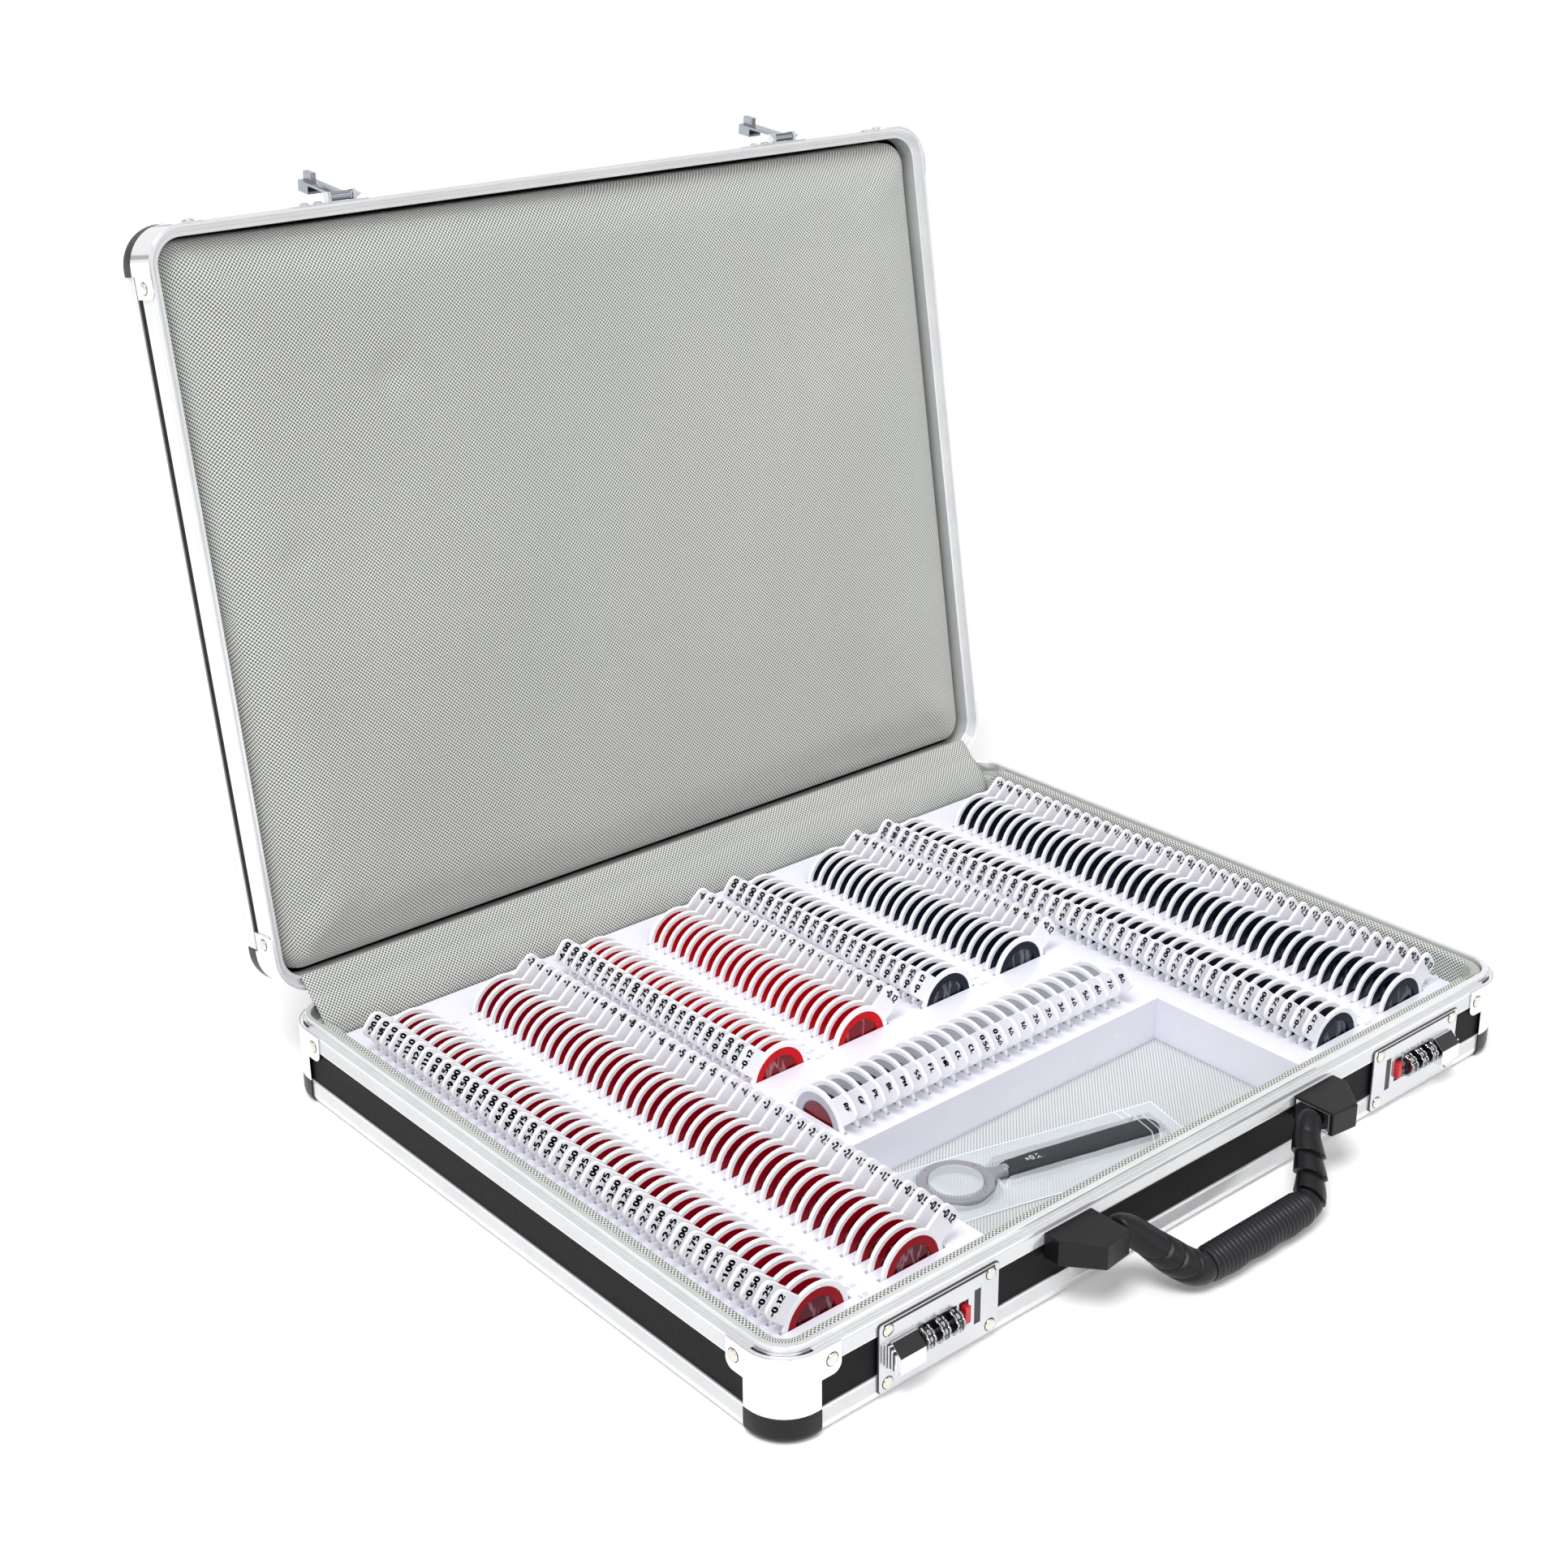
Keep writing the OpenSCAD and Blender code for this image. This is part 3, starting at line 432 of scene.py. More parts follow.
def panel_laminate():
    """Black laminate: two close tones in patches and a fine pebbled skin."""
    p = Paint("panel_laminate")
    pebble = p.node("ShaderNodeTexVoronoi", Vector=p.object_place(), Scale=1500.0)
    patches = p.cloud(14.0)
    return p.finish(
        Base_Color=p.mix(patches, tint("09090C"), tint("101014")),
        Roughness=0.45 + pebble * 0.2,
        Specular_IOR_Level=0.14,
        Normal=p.bump(pebble, 0.04),
    )


def metal(name, shade, rough, spread, grain=0.0, bare=1.0):
    """Bare or plated metal: a tone, a roughness that varies by spread, and grain."""
    p = Paint(name)
    smudge = p.cloud(35.0, 3.0)
    lines = p.cloud(900.0)
    inputs = {
        "Base_Color": p.mix(smudge, tint(shade[0]), tint(shade[1])),
        "Roughness": rough + (smudge - 0.5) * spread + (lines - 0.5) * spread,
        "Metallic": bare,
    }
    if grain:
        inputs["Normal"] = p.bump(lines, grain)
    return p.finish(**inputs)


def moulded(name, dark, light, rough, pebble_depth=0.02, coat=0.0, scale=500.0, gleam=0.5):
    """Moulded plastic: two close tones in soft patches and a fine pebbled skin."""
    p = Paint(name)
    patches = p.cloud(30.0)
    pebble = p.cloud(scale, 3.0)
    return p.finish(
        Base_Color=p.mix(patches, tint(dark), tint(light)),
        Roughness=rough + (patches - 0.5) * 0.1 + (pebble - 0.5) * 0.08,
        Coat_Weight=coat,
        Specular_IOR_Level=gleam,
        Normal=p.bump(pebble, pebble_depth),
    )


def lining_cloth():
    """Woven cloth: light threads with a dark dot at every crossing of two lattices."""
    p = Paint("lining_cloth")
    u, v = p.cloth_place()
    wobble = p.cloud(260.0) * 0.12
    a, b = u / LINING_PITCH + wobble, v / LINING_PITCH + wobble

    def dots(first, second):
        x, y = first.fract() - 0.5, second.fract() - 0.5
        return (x * x + y * y).root()

    near = p.math("MINIMUM", dots(a, b), dots(a + 0.5, b + 0.5))
    dot_core, dot_edge = 0.22, 0.33
    dot = 1.0 - near.ramp(dot_core, dot_edge)
    wear = p.cloud(9.0, 4.0)
    shade = p.mix(wear, tint("D2D4CF"), tint("E4E6E1"))
    fuzz = p.cloud(2500.0)
    return p.finish(
        Base_Color=p.mix(dot * 0.9, shade, tint("262A25")),
        Roughness=0.85 - dot * 0.1,
        Sheen_Weight=0.15,
        Normal=p.bump(near * 1.4 + fuzz * 0.4, 0.35),
    )


def ribbed_cloth():
    """Floor cloth: fine cords side by side with a speckled yarn; the darkening between the cords is painted shade,
    the speckle is the yarn's own.
    """
    p = Paint("ribbed_cloth")
    u, v = p.cloth_place()
    cord = (((u - v) / CORD_PITCH).fract() - 0.5).size() * 2.0
    knot = (((u + v) / CORD_PITCH).fract() - 0.5).size() * 2.0
    yarn = p.cloud(1400.0, 3.0)
    patches = p.cloud(25.0)
    base = p.mix(patches, tint("D6D9DC"), tint("E6E8EA"))
    shadow = (cord ** 2.0) * (0.5 + knot * 0.35) + yarn * 0.12
    return p.finish(
        Base_Color=p.mix(shadow, base, tint("6A726F")),
        Roughness=0.9,
        Sheen_Weight=0.2,
        Normal=p.bump((1.0 - cord) + yarn * 0.3, 0.3),
    )


def clear(name, shade, alpha, rough=0.03):
    """Clear sheet: a faint even veil of one tone."""
    p = Paint(name)
    haze = p.cloud(60.0)
    return p.finish(
        Alpha=alpha + haze * 0.06, Roughness=rough + haze * 0.03, Base_Color=tint(shade), IOR=1.5
    )


def bag_film():
    """Clear film: a veil beside the flip lens, none on it, and a few bright creases that are painted highlights.

    u runs along the bag from the middle of the ring and v across it."""
    handle_near, handle_far, handle_half = 22.0, 118.0, 8.2
    ring_inner, ring_outer = 13.6, 20.0
    strip_places, strip_half = (109.0, 113.5), 0.45
    p = Paint("bag_film")
    u, v = p.cloth_place()
    stretched = p.object_place((1.0, 0.3, 1.0), (0, 0, 0.6))
    folds = p.cloud(34.0, 2.0, stretched)
    # bright crease lines: painted highlights
    crease = 1.0 - ((folds - 0.5).size() * 60.0).clamped()
    sparse = p.cloud(16.0, 1.0).ramp(0.52, 0.66)
    away = (u * u + v * v).root()
    on_handle = ((v + 0.8).size() < handle_half) * (u > handle_near) * (u < handle_far)
    on_ring = (away > ring_inner) * (away < ring_outer)
    veil = 1.0 - (on_handle + on_ring).clamped()
    strips = ((u - strip_places[0]).size() < strip_half) + ((u - strip_places[1]).size() < strip_half)
    hems = (v.size() > BAG_HALF - 1) + (u > BAG_FAR - 1) + (u < BAG_NEAR + 0.8)
    patch = p.cloud(24.0, 1.0)
    return p.finish(
        Base_Color=tint("EEF4FB"), IOR=1.45, Normal=p.bump(folds, 0.5),
        Alpha=(0.03 + veil * (0.18 + patch * 0.4) + crease * sparse * 0.5
               + (strips + hems).clamped() * 0.4).clamped(),
        Roughness=0.2 + patch * 0.15,
    )


def retaining_ring(name, dark, light):
    """Clear coloured resin of a lens ring, in faint swirls."""
    p = Paint(name)
    swirl = p.cloud(90.0)
    return p.finish(
        Base_Color=p.mix(swirl, tint(dark), tint(light)),
        Roughness=0.2 + swirl * 0.08,
        Specular_IOR_Level=0.1,
    )


def ringed_lens(name, dark, pale):
    """A lens inside its coloured ring, nearly opaque: it takes the ring's dark tone as painted shade seen through
    it, with pale upright streaks that are painted reflections.
    """
    p = Paint(name)
    strands = p.cloud(150.0, 2.0, p.object_place((1.0, 1.0, 0.25)))
    # pale upright streaks: painted reflections
    reflection_streak = 1.0 - ((strands - 0.5).size() * 20.0).clamped()
    return p.finish(
        Base_Color=p.mix(reflection_streak * 0.55, tint(dark), tint(pale)),
        Alpha=0.93 - reflection_streak * 0.1,
        Roughness=0.12 + reflection_streak * 0.1,
        Specular_IOR_Level=0.25,
    )


def ink(name, shade):
    """Printed ink, slightly uneven."""
    p = Paint(name)
    patch = p.cloud(700.0)
    return p.finish(
        Base_Color=p.mix(patch * 0.3, tint(shade), tint("4A4A52")), Roughness=0.4 + patch * 0.2
    )


PANEL = panel_laminate()
TRIM = metal("aluminium_trim", ("DFE0E2", "ECEDEE"), 0.22, 0.05, 0.0, 0.6)
CHROME = metal("corner_chrome", ("E8E9EC", "F4F4F7"), 0.07, 0.06)
PLATE = metal("lock_steel", ("CFD0D4", "DEDFE2"), 0.16, 0.08, 0.001, 0.85)
HASP = metal("hasp_steel", ("8C9098", "B4B8C0"), 0.12, 0.08)
DIAL = metal("dial_steel", ("AEB0B6", "C8CACE"), 0.2, 0.1)
PIN = metal("pin_steel", ("8A8C90", "A0A2A6"), 0.3, 0.1)
RIVET = metal("rivet_metal", ("D8D4C8", "ECE9E0"), 0.16, 0.06)
BLACK = moulded("black_plastic", "0A0A0E", "111115", 0.38, 0.02, gleam=0.3)
GRIP = moulded("grip_rubber", "0B0C12", "13141B", 0.38, 0.02, scale=900.0, gleam=0.4)
TRAY = moulded("tray_plastic", "E6E6F2", "EEEEF8", 0.25, 0.008, 0.15, scale=120.0)
HOLDER = moulded("holder_plastic", "F7F7FD", "FCFCFF", 0.28, 0.004, 0.15, scale=200.0)
# black of the dial drums, also used as painted shade and painted dark reflection on rivets, corner strips, buttons
# and lock plates
DIAL_BLACK_AND_PAINTED_SHADE = moulded("dial_black_and_painted_shade", "08080A", "121216", 0.3, 0.01, 0.2)
LEVER = moulded("lever_plastic", "A80A18", "C81222", 0.28, 0.01, 0.3)
LINING = lining_cloth()
FLOOR_CLOTH = ribbed_cloth()
GLASS = clear("clear_glass", "F2F6FA", 0.05)
RED_GLASS = clear("red_filter_glass", "7A0618", 0.82)
GREEN_GLASS = clear("green_filter_glass", "0C4A2C", 0.82)
BLANK_DISC = moulded("blank_disc", "141418", "1E1E22", 0.35)
FILM = bag_film()
SPHERE_RED = retaining_ring("sphere_minus_ring", "8C0012", "A2031A")
CYLINDER_RED = retaining_ring("cylinder_minus_ring", "BE0210", "D20A1C")
# lens tones: the dark one is painted shade seen through the lens, the pale one painted reflection
SPHERE_LENS = ringed_lens("sphere_minus_lens", "5C0218", "C89AA6")
CYLINDER_LENS = ringed_lens("cylinder_minus_lens", "7E0414", "D8A0A6")
PLUS_LENS = ringed_lens("plus_lens", "10131C", "8C93A4")
NAVY = retaining_ring("plus_ring", "0C111C", "182032")
GREY_RING = retaining_ring("accessory_ring", "A4A7AE", "C6C9D0")
FLIP_GREY = moulded("flip_ring_grey", "83858C", "92949B", 0.3, 0.008, 0.2)
FLIP_DARK = moulded("flip_metal", "0C0D11", "15161B", 0.5, 0.015, scale=700.0, gleam=0.3)
PRINT = ink("power_print", "06060E")
FAINT_PRINT = ink("tray_print", "B4B6C4")
WHITE_PRINT = ink("handle_print", "D8D8DA")
RED_DOT = ink("axis_dot", "C01828")

# ---- lettering ----


def arc(cx, cy, rx, ry, start, end, steps=9):
    """Points on an ellipse from one angle to another, in degrees."""
    a = np.radians(np.linspace(start, end, steps))
    return np.stack([cx + rx * np.cos(a), cy + ry * np.sin(a)], 1)


def line(*points):
    """Straight strokes from point to point."""
    return np.array(points, float)


def join(*parts):
    """Parts of one stroke, end to end."""
    return np.concatenate(parts)


STROKES = {
    "0": [arc(0.3, 0.5, 0.23, 0.45, 90, 450, 13)],
    "1": [line((0.12, 0.76), (0.34, 0.95), (0.34, 0.04))],
    "2": [join(arc(0.29, 0.69, 0.22, 0.25, 165, -25, 7), line((0.07, 0.06), (0.55, 0.06)))],
    "3": [arc(0.27, 0.71, 0.21, 0.23, 150, -80, 7), arc(0.27, 0.27, 0.25, 0.22, 80, -150, 7)],
    "4": [line((0.56, 0.30), (0.06, 0.30), (0.42, 0.95), (0.42, 0.04))],
    "5": [join(line((0.51, 0.94), (0.14, 0.94), (0.10, 0.56)),
               arc(0.28, 0.33, 0.25, 0.27, 125, -150, 8))],
    "6": [join(line((0.44, 0.95), (0.14, 0.56)), arc(0.3, 0.29, 0.23, 0.24, 150, 510, 11))],
    "7": [line((0.06, 0.94), (0.54, 0.94), (0.22, 0.04))],
    "8": [arc(0.3, 0.72, 0.19, 0.21, -90, 270, 10), arc(0.3, 0.27, 0.24, 0.24, 90, 450, 11)],
    "9": [join(line((0.16, 0.05), (0.46, 0.44)), arc(0.3, 0.71, 0.23, 0.24, -30, 330, 11))],
    "+": [line((0.05, 0.48), (0.55, 0.48)), line((0.3, 0.22), (0.3, 0.74))],
    "-": [line((0.08, 0.46), (0.5, 0.46))],
    ".": [line((0.07, 0.06), (0.17, 0.06))],
    "x": [line((0.1, 0.2), (0.5, 0.7)), line((0.1, 0.7), (0.5, 0.2))],
    "^": [line((0.05, 0.06), (0.32, 0.92), (0.59, 0.06), (0.05, 0.06))],
    "R": [line((0.1, 0.04), (0.1, 0.95)),
          join(line((0.1, 0.95), (0.3, 0.95)), arc(0.3, 0.72, 0.22, 0.23, 80, -80, 6),
               line((0.1, 0.49))),
          line((0.3, 0.49), (0.55, 0.04))],
    "F": [line((0.54, 0.95), (0.1, 0.95), (0.1, 0.04)), line((0.1, 0.52), (0.46, 0.52))],
    "G": [join(arc(0.34, 0.5, 0.26, 0.45, 50, 320, 10), line((0.56, 0.46), (0.36, 0.46)))],
    "P": [join(line((0.1, 0.04), (0.1, 0.95), (0.3, 0.95)),
               arc(0.3, 0.71, 0.24, 0.24, 80, -80, 6), line((0.1, 0.46)))],
    "L": [line((0.1, 0.95), (0.1, 0.06), (0.52, 0.06))],
    "B": [join(line((0.1, 0.5), (0.1, 0.95), (0.28, 0.95)),
               arc(0.28, 0.73, 0.2, 0.22, 80, -80, 5),
               line((0.1, 0.5), (0.1, 0.05), (0.28, 0.05)),
               arc(0.28, 0.28, 0.25, 0.23, -80, 80, 5))],
    "H": [line((0.1, 0.04), (0.1, 0.95)), line((0.54, 0.04), (0.54, 0.95)), line((0.1, 0.5), (0.54, 0.5))],
    "S": [join(arc(0.31, 0.72, 0.21, 0.22, 40, 250, 7), arc(0.31, 0.27, 0.23, 0.22, 80, -140, 7))],
    "M": [line((0.08, 0.04), (0.08, 0.95), (0.34, 0.4), (0.6, 0.95), (0.6, 0.04))],
    "C": [arc(0.34, 0.5, 0.26, 0.45, 50, 310, 10)],
}
ADVANCE = {".": 0.26, "1": 0.56, "-": 0.6, "+": 0.64}


def stroke_band(points, half):
    """Flat band along a line: each point is moved half to either side."""
    step = np.gradient(points, axis=0)
    step /= np.maximum(np.linalg.norm(step, axis=1, keepdims=True), 1e-9)
    side = np.stack([-step[:, 1], step[:, 0]], 1) * half
    return np.concatenate([points + side, points - side])


def band_quads(count):
    """Quads of a band whose left points come before its right points."""
    i = np.arange(count - 1)
    return np.stack([i, i + 1, i + 1 + count, i + count], 1)


def lettering(shell, text, height, origin, along, up, weight=0.15, wrap=None):
    """Writes text centred on origin: along and up are its unit directions.

    wrap turns flat points into curved ones, for words on a drum."""
    advances = [ADVANCE.get(letter, 0.72) for letter in text]
    start = -sum(advances) / 2
    for letter, advance in zip(text, advances):
        for stroke in STROKES.get(letter, []):
            flat = stroke_band(stroke + (start, -0.5), weight) * height
            bent = wrap(flat) if wrap else origin + flat[:, :1] * along + flat[:, 1:] * up
            shell.add(bent, band_quads(len(stroke)))
        start += advance


# ---- outline of the case ----


def case_outline(arc_steps=10, straight_steps=1):
    """Points once round the case's outer outline, and the outward direction at each."""
    points, normals = [], []
    for sx, sy, first in ((1, -1, -90), (1, 1, 0), (-1, 1, 90), (-1, -1, 180)):
        a = np.radians(first + np.linspace(0, 90, arc_steps + 1))
        out = np.stack([np.cos(a), np.sin(a)], 1)
        centre = np.array([sx * (CASE_W / 2 - CORNER_R), sy * (CASE_D / 2 - CORNER_R)])
        points.append(centre + CORNER_R * out)
        normals.append(out)
    if straight_steps > 1:
        share = np.linspace(0, 1, straight_steps + 1)[1:-1, None]
        for i in range(4):
            a, b = points[i][-1], points[(i + 1) % 4][0]
            points[i] = np.concatenate([points[i], a + (b - a) * share])
            normals[i] = np.concatenate([normals[i], np.repeat(normals[i][-1:], len(share), 0)])
    return np.concatenate(points), np.concatenate(normals)


def corner_outline(sx, sy, reach, arc_steps=12):
    """The outline round one corner, as far as reach from it along both sides."""
    first = {(1, -1): -90, (1, 1): 0, (-1, 1): 90, (-1, -1): 180}[(sx, sy)]
    a = np.radians(first + np.linspace(0, 90, arc_steps + 1))
    out = np.stack([np.cos(a), np.sin(a)], 1)
    centre = np.array([sx * (CASE_W / 2 - CORNER_R), sy * (CASE_D / 2 - CORNER_R)])
    points = centre + CORNER_R * out
    start = np.array([-out[0][1], out[0][0]]) * (reach - CORNER_R)
    end = np.array([-out[-1][1], out[-1][0]]) * (reach - CORNER_R)
    points = np.concatenate([[points[0] - start], points, [points[-1] + end]])
    return points, np.concatenate([out[:1], out, out[-1:]])


def swept(points, normals, profile):
    """Carries a profile of (inset, height) along an outline: outline - inset * normal."""
    profile = np.asarray(profile, float)
    flat = points[:, None] - profile[None, :, :1] * normals[:, None]
    heights = np.broadcast_to(profile[None, :, 1:], (len(points), len(profile), 1))
    return np.concatenate([flat, heights], -1)


def ribs(low, high, count, depth):
    """Zigzag of fine ribs between two heights: the inset swings from 0 to depth."""
    z = np.linspace(low, high, 2 * count + 1)
    return np.stack([depth * (np.arange(len(z)) % 2), z], 1)


def frame_piece(name, profile, node, lid=False):
    """Aluminium section swept once round the case from a closed profile."""
    points, normals = case_outline(12)
    body = swept(points, normals, profile)
    if lid:
        body = on_lid(body)
    shell = Shell().add(body, grid_quads(len(points), len(profile), True, True))
    return place(shell.build(name, TRIM, sharp=28), BODY_OF[node], "aluminium_trim", node)


def case_frames():
    """Rim and foot of the base, rim and edge of the lid, with their ribs and steps."""
    tongue_out, tongue_in, leg = 2.9, 5.9, 3.5
    top = BASE_H - TONGUE
    frame_piece(
        "base_rim",
        np.concatenate([
            [(1, RIM_Z), (0.2, RIM_Z), (0, RIM_Z + 0.3)],
            ribs(RIM_Z + 0.9, top - 2.5, 9, 0.22),
            [(0, top - 2.2), (0.4, top - 2.05), (0.4, top - 1.85), (0, top - 1.6)],
            [(0, top - 0.5), (0.15, top - 0.15), (0.5, top)],
            [(1.5, top), (1.6, top - 0.5), (2.2, top - 0.5), (2.3, top)],
            [(tongue_out, top), (tongue_out, BASE_H - 0.5), (tongue_out + 0.4, BASE_H)],
            [(tongue_in - 0.4, BASE_H), (tongue_in, BASE_H - 0.4), (tongue_in, RIM_Z)],
            [(leg, RIM_Z), (leg, top - 1.5), (1, top - 1.5)],
        ]),
        "base_rim_frame",
    )
    frame_piece(
        "base_foot",
        np.concatenate([
            [(1, FOOT_TOP), (0.2, FOOT_TOP), (0, FOOT_TOP - 0.3)],
            ribs(FOOT_TOP - 1.1, 4.9, 9, 0.2),
            [(0, 4.5), (0, 3.8), (0.3, 2.3), (1.1, 1.1), (2.2, 0.35), (3.6, 0)],
            [(12, 0), (12, 1.5), (1, 1.5)],
        ]),
        "base_foot_frame",
    )
    frame_piece(
        "lid_rim",
        np.concatenate([
            [(1, LID_BAND), (0.2, LID_BAND), (0, LID_BAND - 0.3)],
            ribs(LID_BAND - 1.0, SKIRT_Z + 3.0, 13, 0.2),
            [(0, SKIRT_Z + 2.6), (0.35, SKIRT_Z + 2.4), (0.35, SKIRT_Z + 2.2), (0, SKIRT_Z + 2)],
            [(0, SKIRT_Z + 0.4), (0.3, SKIRT_Z), (1.3, SKIRT_Z), (1.6, SKIRT_Z + 0.3)],
            [(1.6, LID_Z), (3.3, LID_Z), (3.45, LID_Z + 0.3), (3.75, LID_Z + 0.3), (3.9, LID_Z)],
            [(5.5, LID_Z), (tongue_in, LID_Z + 0.4), (tongue_in, LID_BAND), (leg, LID_BAND)],
            [(leg, LID_Z + 1.5), (1, LID_Z + 1.5)],
        ]),
        "lid_rim_frame",
        lid=True,
    )
    frame_piece(
        "lid_edge",
        np.concatenate([
            [(1, LID_EDGE), (0.2, LID_EDGE), (0, LID_EDGE + 0.3)],
            ribs(LID_EDGE + 1.0, LID_TOP - 4.6, 6, 0.2),
            [(0, LID_TOP - 4.2), (0, LID_TOP - 3.8), (0.3, LID_TOP - 2.3)],
            [(1.1, LID_TOP - 1.1), (2.2, LID_TOP - 0.35), (3.6, LID_TOP)],
            [(12, LID_TOP), (12, LID_TOP - 1.5), (1, LID_TOP - 1.5)],
        ]),
        "lid_edge_frame",
        lid=True,
    )


def corner_caps():
    """Black caps: a thin wall round each corner whose free edge curls under the case."""
    curl = np.array([(0, 4.2), (0.3, 2.4), (1.3, 1.0), (2.7, 0.2), (3.9, 0.0)])
    wall = curl * (1, 1) + (-COVER_T, 0)
    inner = curl[::-1] * (1, 1) + (0.1, 0.15)
    for name, node, start, sign, edge in (
        ("base_caps", "base_corner_caps", 0.0, 1, FOOT_TOP),
        ("lid_caps", "lid_corner_caps", LID_TOP, -1, LID_EDGE),
    ):
        profile = np.concatenate([
            [(0, abs(edge - start)), (-COVER_T + 0.2, abs(edge - start))],
            [(-COVER_T, abs(edge - start) - 0.2)], wall, inner,
        ]) * (1, sign) + (0, start)
        shell = Shell()
        for sx in (-1, 1):
            for sy in (-1, 1):
                points, normals = corner_outline(sx, sy, COVER_REACH)
                body = swept(points, normals, profile)
                if sign < 0:
                    body = on_lid(body)
                shell.add(body, *tube_faces(*body.shape[:2]))
        place(shell.build(name, BLACK), BODY_OF[node], "black_plastic", node)


def corner_folds():
    """Dark broken strips where the corner covers lap over the rim, at the base's corners: painted dark reflections
    of the covers' chrome lips.
    """
    shell = Shell()
    for sx in (-1, 1):
        for sy in (-1, 1):
            points, normals = corner_outline(sx, sy, COVER_REACH - 4, 28)
            n = len(points)
            # the strips' width comes and goes, so the painted reflection looks broken
            wide = 0.75 * np.clip(np.sin(np.linspace(0.4, 8.6, n)) + 0.25, 0.02, 1)[:, None]
            top = np.full((n, 1), BASE_H - TONGUE + 0.06)
            near, far = points - (2.0 - wide) * normals, points - (2.0 + wide) * normals
            shell.add(np.concatenate([np.hstack([near, top]), np.hstack([far, top])]), band_quads(n))
    piece = shell.build("corner_folds", DIAL_BLACK_AND_PAINTED_SHADE, outward=False)
    place(piece, "case_base", "corner_chrome")


def dome(radius, height, around=16, rings=5):
    """Dome along +Z: radius times cosine against height times sine, on a short rim."""
    a = np.linspace(0, math.pi / 2 * 0.94, rings)
    r = np.concatenate([[radius, radius], radius * np.cos(a[1:])])
    z = np.concatenate([[0, 0.25], 0.25 + height * np.sin(a[1:])])
    t = np.linspace(0, 2 * math.pi, around, endpoint=False)
    points = np.stack([
        r[:, None] * np.cos(t), r[:, None] * np.sin(t), np.repeat(z[:, None], around, 1)
    ], -1)
    return points.reshape(-1, 3), grid_quads(len(r), around, wrap_cols=True), around


def facing(direction):
    """Matrix whose rows take +Z to a direction along X or Y."""
    d = np.array(direction, float)
    side = np.array([0, 0, 1.0])
    return np.stack([np.cross(side, d), side, d])


def rivets():
    """Domed rivets of the corner covers, the lid covers and the lock plates, each on a flat dark ring that is
    painted shade.
    """
    x, y = CASE_W / 2, CASE_D / 2
    corners = []
    for sx in (-1, 1):
        for sy in (-1, 1):
            corners.append(((sx * (x - RIVET_STEP), sy * (y + COVER_T), 0), (0, sy, 0)))
            corners.append(((sx * (x + COVER_T), sy * (y - RIVET_STEP), 0), (sx, 0, 0)))
    locks = []
    for node in ("left_lock_plate", "right_lock_plate"):
        low, high = box_mm(node)
        middle = (low[0] + high[0]) / 2
        locks += [
            ((middle + sx * 31, LOCK_FACE, LOCK_Z + sz * 13.5), (0, -1, 0))
            for sx in (-1, 1) for sz in (-1, 1)
        ]
    sets = (
        ("base_rivet_heads", "base_rivets", corners, RIM_Z + 2.6, 3.1, False),
        ("lid_rivet_heads", "lid_rivets", corners, LID_Z + 6, 3.1, True),
        ("lock_rivet_heads", "lock_rivets", locks, 0.0, 2.9, False),
    )
    for name, node, places, lift, radius, lid in sets:
        shell = Shell()
        for at, direction in places:
            # second pass: a flat dark ring a little wider than the dome, painted shade round the rivet head
            for grow, height, kind in ((0, 1.0, 0), (0.35, 0.0, 1)):
                points, quads, around = dome(radius + grow, height)
                points[:, 2] *= 1 - 0.6 * kind
                points = points @ facing(direction) + at + (0, 0, lift)
                ends = (np.arange(around)[None, ::-1], (len(points) - around + np.arange(around))[None])
                shell.add(on_lid(points) if lid else points, quads, *ends, kind=kind)
        piece = shell.build(name, RIVET, DIAL_BLACK_AND_PAINTED_SHADE, sharp=50)
        place(piece, BODY_OF[node], "rivet_metal", node)


# ---- lining ----


def liner():
    """Cloth-covered boards round the base: a soft-topped section swept round the case."""
    points, normals = case_outline(10, 60)
    low, high = box_mm("base_liner")
    top = high[2]
    section = rounded_polygon(
        [(6.15, low[2] + 0.1), (6.15, top), (12.0, top), (12.0, low[2] + 0.1)],
        [0.3, 2.2, 2.6, 0.3], 6,
    )
    split = np.argmax(section[:, 1] > low[2] + 20)
    section = np.roll(section, -split, 0)
    body = swept(points, normals, section)
    behind = smooth_step(body[..., 1], CASE_D / 2 - 26, CASE_D / 2 - 19)
    body[..., 2] -= behind * 7.0 * smooth_step(body[..., 2], 20, 40)
    swell = np.sin(body[..., 0] * 0.031 + 1.0) * np.cos(body[..., 1] * 0.043)
    body[..., 2] += 0.35 * swell * smooth_step(body[..., 2], 38, top)
    uv = np.stack(np.meshgrid(lengths_along(points), lengths_along(section), indexing="ij"), -1)
    shell = Shell().add(body, grid_quads(*body.shape[:2], True, True), uv=uv)
    piece = shell.build("liner_boards", LINING, sharp=60)
    place(piece, "case_base", "lining_cloth", "base_liner")


def flap_line():
    """The flap's line in the plane across the hinge, from the lid into the base."""
    tray_back = box_mm("lens_tray")[1][1]
    tray_top = box_mm("lens_tray")[1][2]
    back = CASE_D / 2
    lid_end = on_lid(np.array([(0, HINGE[1] - 10.4, HINGE[2] + 2.6), (0, HINGE[1] - 10.7, HINGE[2] - 0.4)]))
    rest = [
        (back + 0.4, BASE_H + 7.2), (back - 4.4, BASE_H + 2.0), (back - 7.2, BASE_H + 0.6),
        (back - 11, BASE_H - 2.4), (tray_back + 3.6, BASE_H - 8),
        (tray_back + 1.6, tray_top + 3), (tray_back + 1.3, tray_top - 1.5),
    ]
    return smooth_line(np.concatenate([lid_end[:, 1:], rest]), 6)


